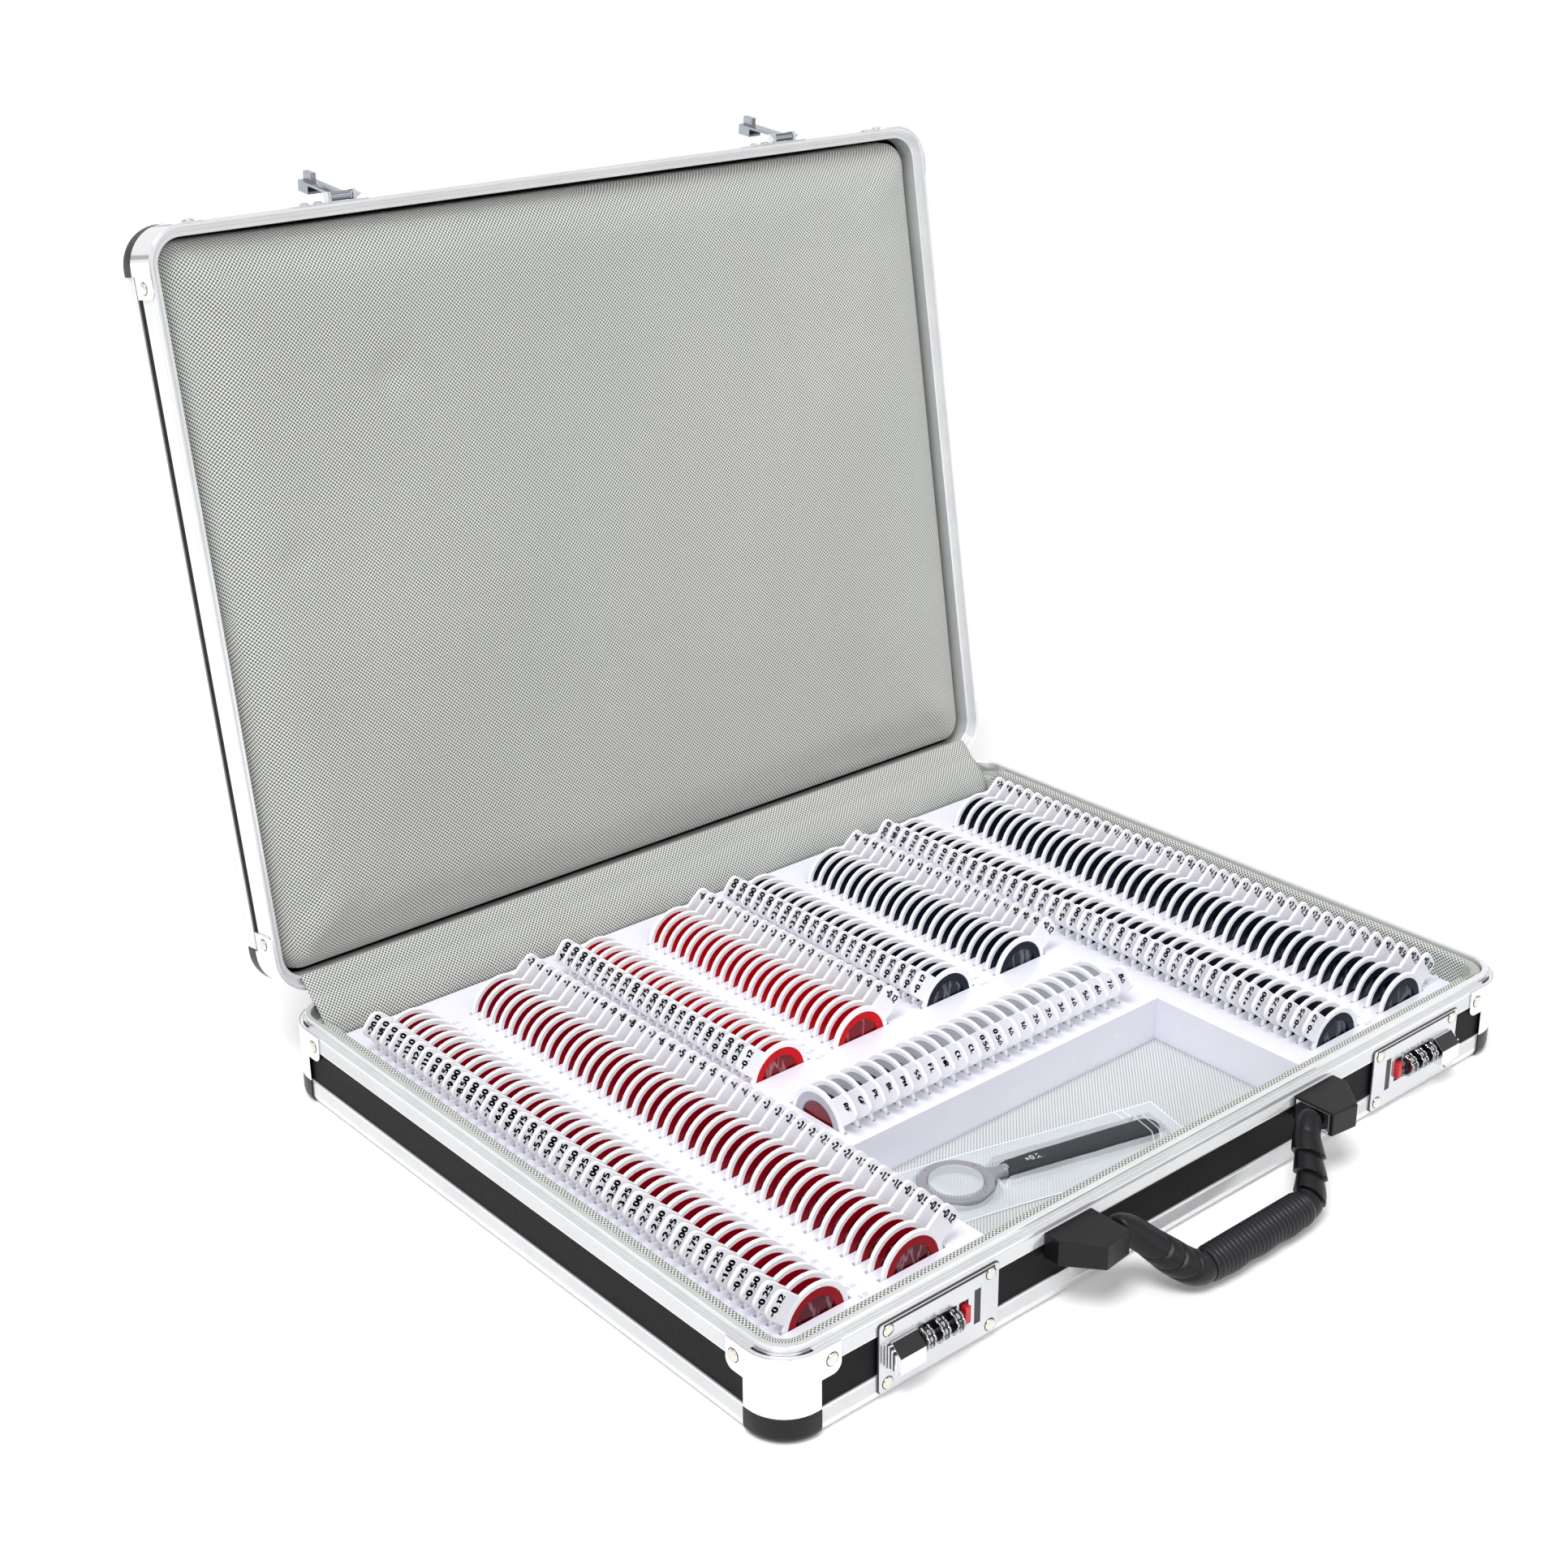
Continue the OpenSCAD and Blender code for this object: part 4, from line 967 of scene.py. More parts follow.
def hinge_flap():
    """Cloth over the hinge: one curved line carried along the case, faintly rippled."""
    line_yz = flap_line()
    low, high = box_mm("hinge_flap")
    x = np.linspace(low[0], high[0], 150)
    along = lengths_along(line_yz)
    ripple = 0.25 * np.sin(x[:, None] * 0.06 + along[None] * 0.25) * np.sin(x[:, None] * 0.023)
    middle = np.sin(np.clip(along / along[-1], 0, 1) * math.pi)[None]
    body = np.stack([
        np.repeat(x[:, None], len(line_yz), 1),
        np.broadcast_to(line_yz[None, :, 0], (len(x), len(line_yz))),
        line_yz[None, :, 1] + ripple * middle,
    ], -1)
    uv = np.stack(np.meshgrid(x - x[0], along, indexing="ij"), -1)
    shell = Shell().add(body, grid_quads(*body.shape[:2]), uv=uv)
    piece = shell.build("hinge_cloth", LINING, sharp=80, outward=False)
    thicken(piece, 0.6, 0)
    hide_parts("hinge_flap")
    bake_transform(piece)


PAD_EDGE = LID_Z + 5.4
PAD_FLOOR = LID_TOP - 4.2
PAD_HIGH = np.array([CASE_W / 2 - 6.4, CASE_D / 2 - 6.0])
PAD_LOW = np.array([-PAD_HIGH[0], 6.4 - CASE_D / 2])


def pad_form():
    """Rounded slab of the pad on the closed lid: its outline drawn in as it crowns."""
    x, y0, y1 = PAD_HIGH[0], PAD_LOW[1], PAD_HIGH[1]
    face, floor, corner = PAD_EDGE, PAD_FLOOR, 14.0
    outline = rounded_polygon([(-x, y0), (x, y0), (x, y1), (-x, y1)], corner, 8)
    centre = (PAD_LOW + PAD_HIGH) / 2
    loops = []
    for inset, z in (
        (0, floor), (0, face - 0.4), (1, face - 1.5), (6, face - 3.5), (14, face - 5.6),
        (22, face - 7.1), (31, face - 7.9), (43, face - 8.1),
    ):
        shrink = 1 - inset / np.array([x, (y1 - y0) / 2])
        ring = centre + (outline - centre) * shrink
        loops.append(np.concatenate([ring, np.full((len(ring), 1), z)], 1))
    body = np.stack(loops)
    shell = Shell().add(body, *tube_faces(*body.shape[:2]))
    return shell.build("lid_cushion", LINING, sharp=180)


def dent_pad(p):
    """Presses dimples into the pad's face, each a bell of a depth and a spread, and one crease."""
    dimples = ((-137.3, -110.9, 2.6, 9.0), (-210.0, -26.4, 2.2, 8.0), (60.0, 60.0, 0.8, 40.0))
    crease_x, crease_y, crease_slope, crease_w, crease_deep = 150, 176, 0.03, 5, 0.9
    top = 1 - smooth_step(p[:, 2], PAD_EDGE - 1, PAD_EDGE + 3)
    for dx, dy, depth, spread in dimples:
        away = (p[:, 0] - dx) ** 2 + (p[:, 1] - dy) ** 2
        p[:, 2] += top * depth * np.exp(-away / spread**2)
    off = (p[:, 1] - crease_y) - crease_slope * (p[:, 0] - crease_x)
    crease = np.exp(-(off / crease_w) ** 2)
    p[:, 2] += top * crease_deep * crease * smooth_step(p[:, 0], 40, crease_x)
    return p


def lid_cushion():
    """Padded lid lining: a rounded slab, blown up as cloth, dimpled and then opened."""
    voxel, cap, pressure, squashed = 5.5, 2.0, 2.2, 0.4
    piece = pad_form()
    p = dent_pad(inflate(piece, voxel, cap, pressure, pinned=PAD_FLOOR - 4))
    uv = p[:, :2].copy()
    drop = np.maximum(p[:, 2] - PAD_EDGE + 3.0, 0)
    uv += np.sign(uv - (PAD_LOW + PAD_HIGH) / 2) * drop[:, None] * 0.7
    mesh = piece.data
    mesh.vertices.foreach_set("co", (on_lid(p) * MM).astype(np.float32).ravel())
    index = np.zeros(len(mesh.loops), np.int32)
    mesh.loops.foreach_get("vertex_index", index)
    layer = mesh.uv_layers.get("UVMap") or mesh.uv_layers.new(name="UVMap")
    layer.data.foreach_set("uv", uv[index].astype(np.float32).ravel())
    mesh.update()
    mesh.shade_smooth()
    smooth = piece.modifiers.new("smooth", "SUBSURF")
    smooth.levels = smooth.render_levels = 1
    place(piece, "lid", "lining_cloth", "lid_pad")
    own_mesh(piece)


def inflate(piece, voxel, cap, pressure, pinned):
    """Remeshes a closed shape and blows it up as cloth; no point moves over cap.

    Points above the pinned height stay. Returns the points, in millimetres."""
    activate(piece)
    remesh = piece.modifiers.new("remesh", "REMESH")
    remesh.mode = "VOXEL"
    remesh.voxel_size = voxel * MM
    bpy.ops.object.modifier_apply(modifier=remesh.name)
    mesh = piece.data
    count = len(mesh.vertices)
    start = np.zeros(count * 3, np.float32)
    mesh.vertices.foreach_get("co", start)
    start = start.reshape(-1, 3) / MM
    ends = start.copy()
    held = piece.vertex_groups.new(name="held")
    held.add(np.nonzero(start[:, 2] > pinned)[0].tolist(), 1.0, "REPLACE")
    cloth = piece.modifiers.new("cloth", "CLOTH")
    cloth.settings.quality = 5
    cloth.settings.mass = 0.3
    cloth.settings.use_pressure = True
    cloth.settings.uniform_pressure_force = pressure
    cloth.settings.effector_weights.gravity = 0
    cloth.settings.vertex_group_mass = "held"
    cloth.collision_settings.use_collision = False
    cloth.point_cache.frame_end = 20
    for step in range(1, 21):
        bpy.context.scene.frame_set(step)
    ready = piece.evaluated_get(bpy.context.evaluated_depsgraph_get())
    moved = np.zeros(count * 3, np.float32)
    ready.data.vertices.foreach_get("co", moved)
    ends = moved.reshape(-1, 3) / MM
    piece.modifiers.remove(cloth)
    bpy.context.scene.frame_set(1)
    shift = ends - start
    size = np.linalg.norm(shift, axis=1, keepdims=True)
    shift *= cap / np.maximum(cap, size)
    return start + shift


def activate(piece):
    """Makes the piece the one that modifiers are applied to."""
    bpy.ops.object.select_all(action="DESELECT")
    bpy.context.view_layer.objects.active = piece
    piece.select_set(True)


def compartment_cloth():
    """Corded cloth laid on the compartment floor: a sheet with two faint crossed waves."""
    low, high = box_mm("compartment_floor")
    x = np.linspace(low[0] + 0.3, high[0] - 0.3, 60)
    y = np.linspace(low[1] + 0.3, high[1] - 0.3, 30)
    gx, gy = np.meshgrid(x, y, indexing="ij")
    gz = high[2] - 0.05 + 0.12 * np.sin(gx * 0.05) * np.sin(gy * 0.07)
    uv = np.stack([gx - x[0], gy - y[0]], -1)
    shell = Shell().add(np.stack([gx, gy, gz], -1), grid_quads(len(x), len(y)), uv=uv)
    piece = shell.build("compartment_cloth", FLOOR_CLOTH, sharp=180, outward=False)
    thicken(piece, 0.8, -1)
    place(piece, "case_base", "floor_cloth", "compartment_floor")


# ---- lenses ----


def turned_ring(profile, around):
    """Closed profile of (radius, depth) turned round the lens axis, which is Y."""
    profile = np.asarray(profile, float)
    t = np.linspace(0, 2 * math.pi, around, endpoint=False)[:, None]
    r, depth = profile[None, :, 0], profile[None, :, 1]
    points = np.stack([r * np.cos(t), np.broadcast_to(depth, (around, len(profile))), r * np.sin(t)], -1)
    return points.reshape(-1, 3), grid_quads(around, len(profile), True, True)


def lens_rim():
    """White rim with rounded edges, seen along Y."""
    h = RIM_T / 2
    return turned_ring(
        [(RING_R, -h + 0.3), (RING_R + 0.3, -h), (LENS_R - 0.5, -h), (LENS_R, -h + 0.5),
         (LENS_R, h - 0.5), (LENS_R - 0.5, h), (RING_R + 0.3, h), (RING_R, h - 0.3)], 32)


def lens_tab(angle):
    """Rounded tab that grows out of the rim along an angle above the horizontal."""
    h, edge = RIM_T / 2 - TAB_THINNER, 0.3
    w = TAB_W / 2
    outline = rounded_polygon(
        [(RING_R + 0.6, -w), (TAB_REACH, -w), (TAB_REACH, w), (RING_R + 0.6, w)],
        [0.2, TAB_ROUND, TAB_ROUND, 0.2], 4)
    middle = np.array([(TAB_REACH + RING_R) / 2, 0])
    shrink = 1 - edge / np.array([(TAB_REACH - RING_R) / 2, w])
    small = middle + (outline - middle) * shrink
    loops = [(small, -h), (outline, -h + edge), (outline, h - edge), (small, h)]
    c, s = math.cos(angle), math.sin(angle)
    body = np.stack([
        np.stack([p[:, 0] * c - p[:, 1] * s, np.full(len(p), y), p[:, 0] * s + p[:, 1] * c], 1)
        for p, y in loops
    ])
    return body.reshape(-1, 3), *tube_faces(*body.shape[:2])


def lens_ring():
    """Coloured retaining ring with a sloped inner edge."""
    h, slope = RING_T / 2, 0.5
    return turned_ring(
        [(GLASS_R, -0.4), (GLASS_R + slope, -h), (RING_R, -h), (RING_R, h), (GLASS_R + slope, h),
         (GLASS_R, 0.4)], 32)


def lens_glass(around=20):
    """Thin lens: two shallow caps that meet at the ring."""
    t = np.linspace(0, 2 * math.pi, around, endpoint=False)
    edge = np.stack([GLASS_R * np.cos(t), 0 * t, GLASS_R * np.sin(t)], 1)
    points = np.concatenate([edge, [(0, -0.6, 0), (0, 0.6, 0)]])
    return points, fan_faces(around, around), fan_faces(around, around + 1)[:, ::-1]


POWERS_LONG = (
    "20.0 18.0 16.0 14.0 13.0 12.0 11.0 10.0 9.50 9.00 8.50 8.00 7.50 7.00 6.50 6.00 "
    "5.75 5.50 5.25 5.00 4.75 4.50 4.25 4.00 3.75 3.50 3.25 3.00 2.75 2.50 2.25 2.00 "
    "1.75 1.50 1.25 1.00 0.75 0.50 0.25 0.12"
).split()
POWERS_SHORT = (
    "6.00 5.50 5.00 4.50 4.00 3.75 3.50 3.25 3.00 2.75 2.50 2.25 2.00 1.75 1.50 1.25 "
    "1.00 0.75 0.50 0.25 0.12"
).split()
ACCESSORY_CODES = "RF GF PL BL PH SS FL MR CL CL 0.5^ 0.5^ 1^ 1^ 2^ 2^ 3^ 4^ 5^ 6^ 7^ 8^".split()
COLUMN_SHIFT = -1.5
TRAY_LOW, TRAY_HIGH = box_mm("lens_tray")
TRAY_HALF = TRAY_HIGH[0]
ACCESSORY_Y = TRAY_LOW[1] + 139
COLUMN_X = {
    "sphere": (0.8507 * TRAY_HALF, 0.6182 * TRAY_HALF),
    "cylinder": (0.3567 * TRAY_HALF, 0.1299 * TRAY_HALF),
}
ROWS = {
    "sphere": np.linspace(TRAY_HIGH[1] - 26.2, TRAY_LOW[1] + 19.7, len(POWERS_LONG)),
    "cylinder": np.linspace(TRAY_HIGH[1] - 25.4, ACCESSORY_Y + 47, len(POWERS_SHORT)),
}


def lens_group(family, sign, body, ring_paint, lens_paint, ring_slot):
    """One family's two columns: rims with tabs, rings with glass, and powers."""
    outer, inner = COLUMN_X[family]
    mark = "-" if sign < 0 else "+"
    powers = POWERS_LONG if family == "sphere" else POWERS_SHORT
    rims, optics, prints, scale = Shell(), Shell(), Shell(), Shell()
    for x, side in ((sign * outer, sign), (sign * inner, -sign)):
        angle = TAB_ANGLE if side > 0 else math.pi - TAB_ANGLE
        out = np.array([math.cos(angle), 0, math.sin(angle)])
        along = np.array([math.sin(angle), 0, -math.cos(angle)])
        rim, tab, ring, glass = lens_rim(), lens_tab(angle), lens_ring(), lens_glass()
        for y, power in zip(ROWS[family], powers):
            at = np.array([COLUMN_SHIFT + x, y, LENS_Z])
            rims.add(rim[0] + at, rim[1])
            rims.add(tab[0] + at, *tab[1:])
            optics.add(ring[0] + at, ring[1])
            optics.add(glass[0] + at, *glass[1:], kind=1)
            face = at + out * (TAB_REACH - LABEL_IN) - (0, RIM_T / 2 - TAB_THINNER, 0)
            lettering(prints, mark + power, LABEL_H, face, along, out)
            if side < 0:
                spot = at + (25.5, -3.2, 2.5 + 0.03)
                right, away = np.array([1.0, 0, 0]), np.array([0, 1.0, 0])
                lettering(scale, power, SLOT_MARK_H, spot, right, away, 0.07)
    stem = ("minus_" if sign < 0 else "plus_") + family
    place(rims.build(stem + "_rims", HOLDER), body, "holder_plastic", stem + "_holders")
    piece = optics.build(stem + "_optics", ring_paint, lens_paint, sharp=40)
    place(piece, body, ring_slot, stem + "_lenses")
    place(prints.build(stem + "_powers", PRINT, outward=False), body, "holder_plastic")
    place(scale.build(stem + "_slot_marks", FAINT_PRINT, outward=False), "case_base", "tray_plastic")


def tray_teeth():
    """Low ridges of the tray beside the outer columns, one under each tab."""
    top = TRAY_HIGH[2]
    shell = Shell()
    for side in (-1, 1):
        x0, x1 = sorted((side * (TRAY_HALF - 11.5), side * (TRAY_HALF - 1.5)))
        for y in ROWS["sphere"]:
            ridge = [(y + 0.6, top - 0.2), (y + 1.4, top + 1.9), (y + 3.4, top + 1.9), (y + 5.6, top - 0.2)]
            shell.add(*prism(ridge, x0, x1))
    place(shell.build("tray_ridges", TRAY), "case_base", "tray_plastic")


def quarter_turn(points):
    """Turns lens points about Z so that the lens axis lies along X, front to -X."""
    p = np.asarray(points, float)
    return np.stack([p[..., 1], -p[..., 0], p[..., 2]], -1)


def accessory_group():
    """Accessory row: rims across the row, filters, blanks and clear discs, and codes."""
    row_x = -4.7 + 9.5 * (np.arange(22) - 10.5)
    out = quarter_turn([math.cos(TAB_ANGLE), 0, math.sin(TAB_ANGLE)])
    along = quarter_turn([math.sin(TAB_ANGLE), 0, -math.cos(TAB_ANGLE)])
    rims, optics, prints = Shell(), Shell(), Shell()
    kinds = {"RF": 2, "GF": 3, "BL": 4, "PH": 4, "SS": 4}
    rim, tab, ring, glass = lens_rim(), lens_tab(TAB_ANGLE), lens_ring(), lens_glass()
    for x, code in zip(row_x, ACCESSORY_CODES):
        at = np.array([x, ACCESSORY_Y, LENS_Z])
        rims.add(quarter_turn(rim[0]) + at, rim[1])
        rims.add(quarter_turn(tab[0]) + at, *tab[1:])
        optics.add(quarter_turn(ring[0]) + at, ring[1])
        optics.add(quarter_turn(glass[0]) + at, *glass[1:], kind=kinds.get(code, 1))
        face = at + out * (TAB_REACH - LABEL_IN) - (RIM_T / 2 - TAB_THINNER, 0, 0)
        lettering(prints, code, CODE_H, face, along, out)
    place(rims.build("accessory_rims", HOLDER), "accessories", "holder_plastic", "accessory_holders")
    piece = optics.build(
        "accessory_optics", GREY_RING, GLASS, RED_GLASS, GREEN_GLASS, BLANK_DISC, sharp=40)
    place(piece, "accessories", "accessory_ring", "accessory_lenses")
    place(prints.build("accessory_codes", PRINT, outward=False), "accessories", "holder_plastic")


# ---- cross cylinder in its bag ----

FLIP_AT = np.array([-72.0, box_mm("lens_tray")[0][1] + 74.7, 9.4])
FLIP_TURN = math.radians(-14.5)
FLIP_R = 19.0
FLIP_BAND = 4.6
FLIP_NECK = FLIP_R + 9
FLIP_END = FLIP_NECK + 90


def flip_place(points):
    """Turns points of the flip lens on the compartment floor and sets them there."""
    p = np.asarray(points, float)
    c, s = math.cos(FLIP_TURN), math.sin(FLIP_TURN)
    return FLIP_AT + np.stack([p[..., 0] * c - p[..., 1] * s, p[..., 0] * s + p[..., 1] * c, p[..., 2]], -1)


def tube_along_x(x, half_y, half_z, power=2.6, around=28):
    """Closed bar along X: a superellipse of changing half width and half height."""
    t = np.linspace(0, 2 * math.pi, around, endpoint=False)
    cy = np.sign(np.cos(t)) * np.abs(np.cos(t)) ** (2 / power)
    cz = np.sign(np.sin(t)) * np.abs(np.sin(t)) ** (2 / power)
    points = np.stack([
        np.repeat(np.asarray(x, float)[:, None], around, 1),
        np.asarray(half_y)[:, None] * cy, np.asarray(half_z)[:, None] * cz,
    ], -1)
    return points.reshape(-1, 3), *tube_faces(len(x), around)


def flip_ring():
    """Flat ring of the cross cylinder with its tapered neck and grooved collar."""
    inner = FLIP_R - FLIP_BAND
    ring = rounded_polygon([(inner, -1.3), (inner + 1.4, -1.9), (FLIP_R, -1.9), (FLIP_R, 1.9),
                            (inner + 1.4, 1.9), (inner, 1.3)], 0.5, 2)
    points, quads = turned_ring(ring, 64)
    shell = Shell().add(flip_place(points[:, [0, 2, 1]]), quads)
    x = np.linspace(FLIP_R - 2.6, FLIP_NECK - 1.5, 14)
    share = (x - x[0]) / (x[-1] - x[0])
    neck = tube_along_x(x, 3.2 + 5.4 * (1 - share) ** 2.2, 1.75 + 0.9 * share)
    shell.add(flip_place(neck[0]), *neck[1:])
    rounds = 19
    x = np.linspace(FLIP_NECK - 2.4, FLIP_NECK + 1.0, rounds)
    groove = 0.12 * np.cos(np.arange(rounds) * math.pi)
    collar = tube_along_x(x, 3.5 + groove, 2.9 + 0 * x, 2.2)
    shell.add(flip_place(collar[0]), *collar[1:])
    place(shell.build("flip_ring", FLIP_GREY), "flip_lens_packet", "flip_metal", "cross_cylinder")


def flip_handle():
    """Pebbled handle of the cross cylinder, waisted near the neck and round at its end."""
    turn = FLIP_END - 7
    x = np.concatenate([
        [FLIP_NECK, FLIP_NECK + 0.4, FLIP_NECK + 1.2],
        np.linspace(FLIP_NECK + 2.5, turn, 16),
        FLIP_END - 7 * (1 - np.sin(np.linspace(0.2, 1.5, 7))),
    ])
    rounded = np.sqrt(np.clip(1 - ((x - turn) / 7.05) ** 2, 0.02, 1))
    end = rounded * (x > turn) + (x <= turn)
    begin = 0.72 + 0.1 * (x > FLIP_NECK + 2) + 0.18 * smooth_step(x, FLIP_NECK + 2, FLIP_NECK + 24)
    swell = 1 - 0.12 * np.exp(-((x - FLIP_NECK - 30) / 22) ** 2)
    handle = tube_along_x(x, 6.9 * end * begin * swell, 3.4 * np.sqrt(end) * begin, 3.2, 32)
    shell = Shell().add(flip_place(handle[0]), *handle[1:])
    place(shell.build("flip_handle", FLIP_DARK, sharp=60), "flip_lens_packet", "flip_metal")


def flip_marks():
    """Printed power on the handle and the four red axis dots on the ring."""
    shell = Shell()
    lettering(shell, "x0.25", 3.8, flip_place([FLIP_NECK + 17, -0.5, 3.3]),
              flip_place([1, 0, 0]) - FLIP_AT, flip_place([0, 1, 0]) - FLIP_AT, 0.09)
    place(shell.build("flip_print", WHITE_PRINT, outward=False), "flip_lens_packet", "flip_metal")
    dot_r, corners = 0.55, 12
    t = np.linspace(0, 2 * math.pi, corners, endpoint=False)
    shell = Shell()
    for a in (0.5, 2.1, 3.7, 5.2):
        spot = np.array([(FLIP_R - 2.0) * math.cos(a), (FLIP_R - 2.0) * math.sin(a), 1.93])
        disc = spot + dot_r * np.stack([np.cos(t), np.sin(t), 0 * t], 1)
        shell.add(flip_place(disc), np.arange(corners)[None])
    place(shell.build("axis_dots", RED_DOT, outward=False), "flip_lens_packet", "flip_metal")


def flip_glass():
    """Lens of the cross cylinder: two shallow cones of clear glass, edge to edge."""
    x = np.linspace(0, 2 * math.pi, 48, endpoint=False)
    r = FLIP_R - FLIP_BAND + 0.2
    rim = np.stack([r * np.cos(x), r * np.sin(x), 0 * x], 1)
    points = np.concatenate([rim, [(0, 0, 0.8), (0, 0, -0.8)]])
    shell = Shell().add(flip_place(points), fan_faces(48, 48), fan_faces(48, 49)[:, ::-1])
    place(shell.build("flip_glass", GLASS), "flip_lens_packet", "clear_glass", "cross_cylinder_lens")


def film_height(u, v):
    """Height of the bag's upper film: it lies over the ring and the handle and sags between."""
    ring = smooth_step(FLIP_R + 4 - np.hypot(u, v), 0, 4) * 5.4
    reach = np.maximum(np.maximum(FLIP_NECK - 2 - u, u - FLIP_END + 1), 0)
    bar = smooth_step(6 - np.hypot(np.maximum(np.abs(v) - 6.5, 0), reach), 0, 5) * 7.0
    return np.maximum(ring, bar)


def lens_bag():
    """Clear bag: its upper film, sealed down at the edges, over the flip lens, finely crinkled."""
    u = np.linspace(BAG_NEAR, BAG_FAR, 130)
    v = np.linspace(-BAG_HALF, BAG_HALF, 56)
    gu, gv = np.meshgrid(u, v, indexing="ij")
    edge = np.minimum(np.minimum(gu - u[0], u[-1] - gu), np.minimum(gv - v[0], v[-1] - gv))
    seal = smooth_step(edge, 0.5, 9)
    grain = np.array([
        noise.fractal(Vector((a * 0.06, b * 0.1, 2.0)), 0.9, 2.1, 4)
        for a, b in zip(gu.ravel(), gv.ravel())
    ]).reshape(gu.shape)
    bottom = -3.75 - 0.2 * seal
    top = np.maximum(-3.4 + (film_height(gu, gv) + 0.3) * seal + 0.35 * grain * seal, bottom + 0.15)
    wave = 1.2 * np.sin(gu * 0.045 + 0.6) * (1 - seal) * 0.5
    shell = Shell()
    uv = np.stack([gu, gv], -1)
    film = flip_place(np.stack([gu, gv, top + np.maximum(wave, 0)], -1))
    shell.add(film, grid_quads(len(u), len(v)), uv=uv)
    piece = shell.build("lens_bag_film", FILM, sharp=180, outward=False)
    place(piece, "flip_lens_packet", "bag_film", "lens_bag")


# ---- locks ----


def prism(profile, x0, x1):
    """Profile of (y, z) carried along X from x0 to x1, with its two end faces."""
    profile = np.asarray(profile, float)
    ends = np.stack([np.column_stack([np.full(len(profile), x), profile]) for x in (x0, x1)])
    return ends.reshape(-1, 3), *tube_faces(2, len(profile))


def lock_button(side, outer):
    """Button: a block whose sloped top is painted dark as a reflection, with upright ribs on its outer end over a
    dark core that paints the shade between them.

    outer is -1 where the outer end lies towards -X."""
    low, high = box_mm(side + "_lock_button")
    face, front = LOCK_FACE - 0.15, low[1]
    z0, z1 = low[2], high[2]
    inner_x, outer_x = (high[0], low[0]) if outer < 0 else (low[0], high[0])
    block_x = outer_x - outer * 1.5
    slope = [(face, z0), (face, z1), (face - 1.2, z1), (front, z1 - 5.4), (front, z0 + 0.6),
             (front + 0.8, z0)]
    points, sides, *ends = prism(slope, *sorted((block_x, inner_x)))
    # the sloped face takes the dark paint: a painted reflection
    sloped = 2
    shell = Shell().add(
        points, sides[[sloped]], np.delete(sides, sloped, 0), *ends, kind=(1, 0, 0, 0))
    # dark core behind the ribs: painted shade in the grooves between them
    core = [(face, z0 + 1), (face, z1 - 0.8), (face - 5.0, z1 - 5), (face - 5.0, z0 + 1)]
    shell.add(*prism(core, *sorted((block_x, outer_x - outer * 0.6))), kind=1)
    for i in range(3):
        y, top = face - 0.2 - 2.0 * i, z1 - 1.2 - 1.4 * i
        rib = [(y, z0 + 0.4), (y, top), (y - 1.0, top), (y - 1.0, z0 + 0.4)]
        shell.add(*prism(rib, *sorted((block_x, outer_x))))
    piece = shell.build(side + "_button", CHROME, DIAL_BLACK_AND_PAINTED_SHADE, sharp=30)
    round_edges(piece, 0.2, 2, 30)
    place_node(piece, side + "_lock_button")


def plate_lines(side):
    """Dark strip along the top of a lock plate, a painted reflection, and a dark band round the plate, a painted
    shadow.
    """
    low, high = box_mm(side + "_lock_plate")
    x0, x1, z0, z1 = low[0], high[0], LOCK_Z - 17.5, LOCK_Z + 17.5
    # dark strip along the plate's top edge: painted reflection
    bevel = [(LOCK_FACE + 0.1, z1 - 1.9), (LOCK_FACE - 0.2, z1 - 1.7), (LOCK_FACE - 0.2, z1 - 0.8),
             (LOCK_FACE + 0.1, z1 - 0.3)]
    shell = Shell().add(*prism(bevel, x0 + 2.6, x1 - 2.6))
    # dark band behind and round the plate: painted shadow
    shadow_band_width, back = 0.45, LOCK_FACE + 0.9
    outline = rounded_polygon(
        [(x0 - shadow_band_width, z0 - shadow_band_width), (x1 + shadow_band_width, z0 - shadow_band_width), (x1 + shadow_band_width, z1 + shadow_band_width), (x0 - shadow_band_width, z1 + shadow_band_width)], 2.4, 5)
    loops = [np.column_stack([outline[:, 0], np.full(len(outline), y), outline[:, 1]])
             for y in (back, back - 0.35)]
    n = len(outline)
    shell.add(np.stack(loops), grid_quads(2, n, wrap_cols=True), np.arange(n)[None] + n)
    place(shell.build(side + "_plate_lines", DIAL_BLACK_AND_PAINTED_SHADE), "case_base", "lock_steel")


def lock_hardware():
    """Lock plates, buttons, levers and dials with their edges rounded and dials numbered."""
    for side, outer in (("left", -1), ("right", 1)):
        softened(side + "_lock_plate", side + "_plate", PLATE, 0.45, 3)
        plate_lines(side)
        lock_button(side, outer)
        softened(side + "_reset_lever", side + "_lever", LEVER, 0.6)
        for i in (1, 2, 3):
            number_dial(f"{side}_dial_{i}", f"{side}_number_dial_{i}", i)


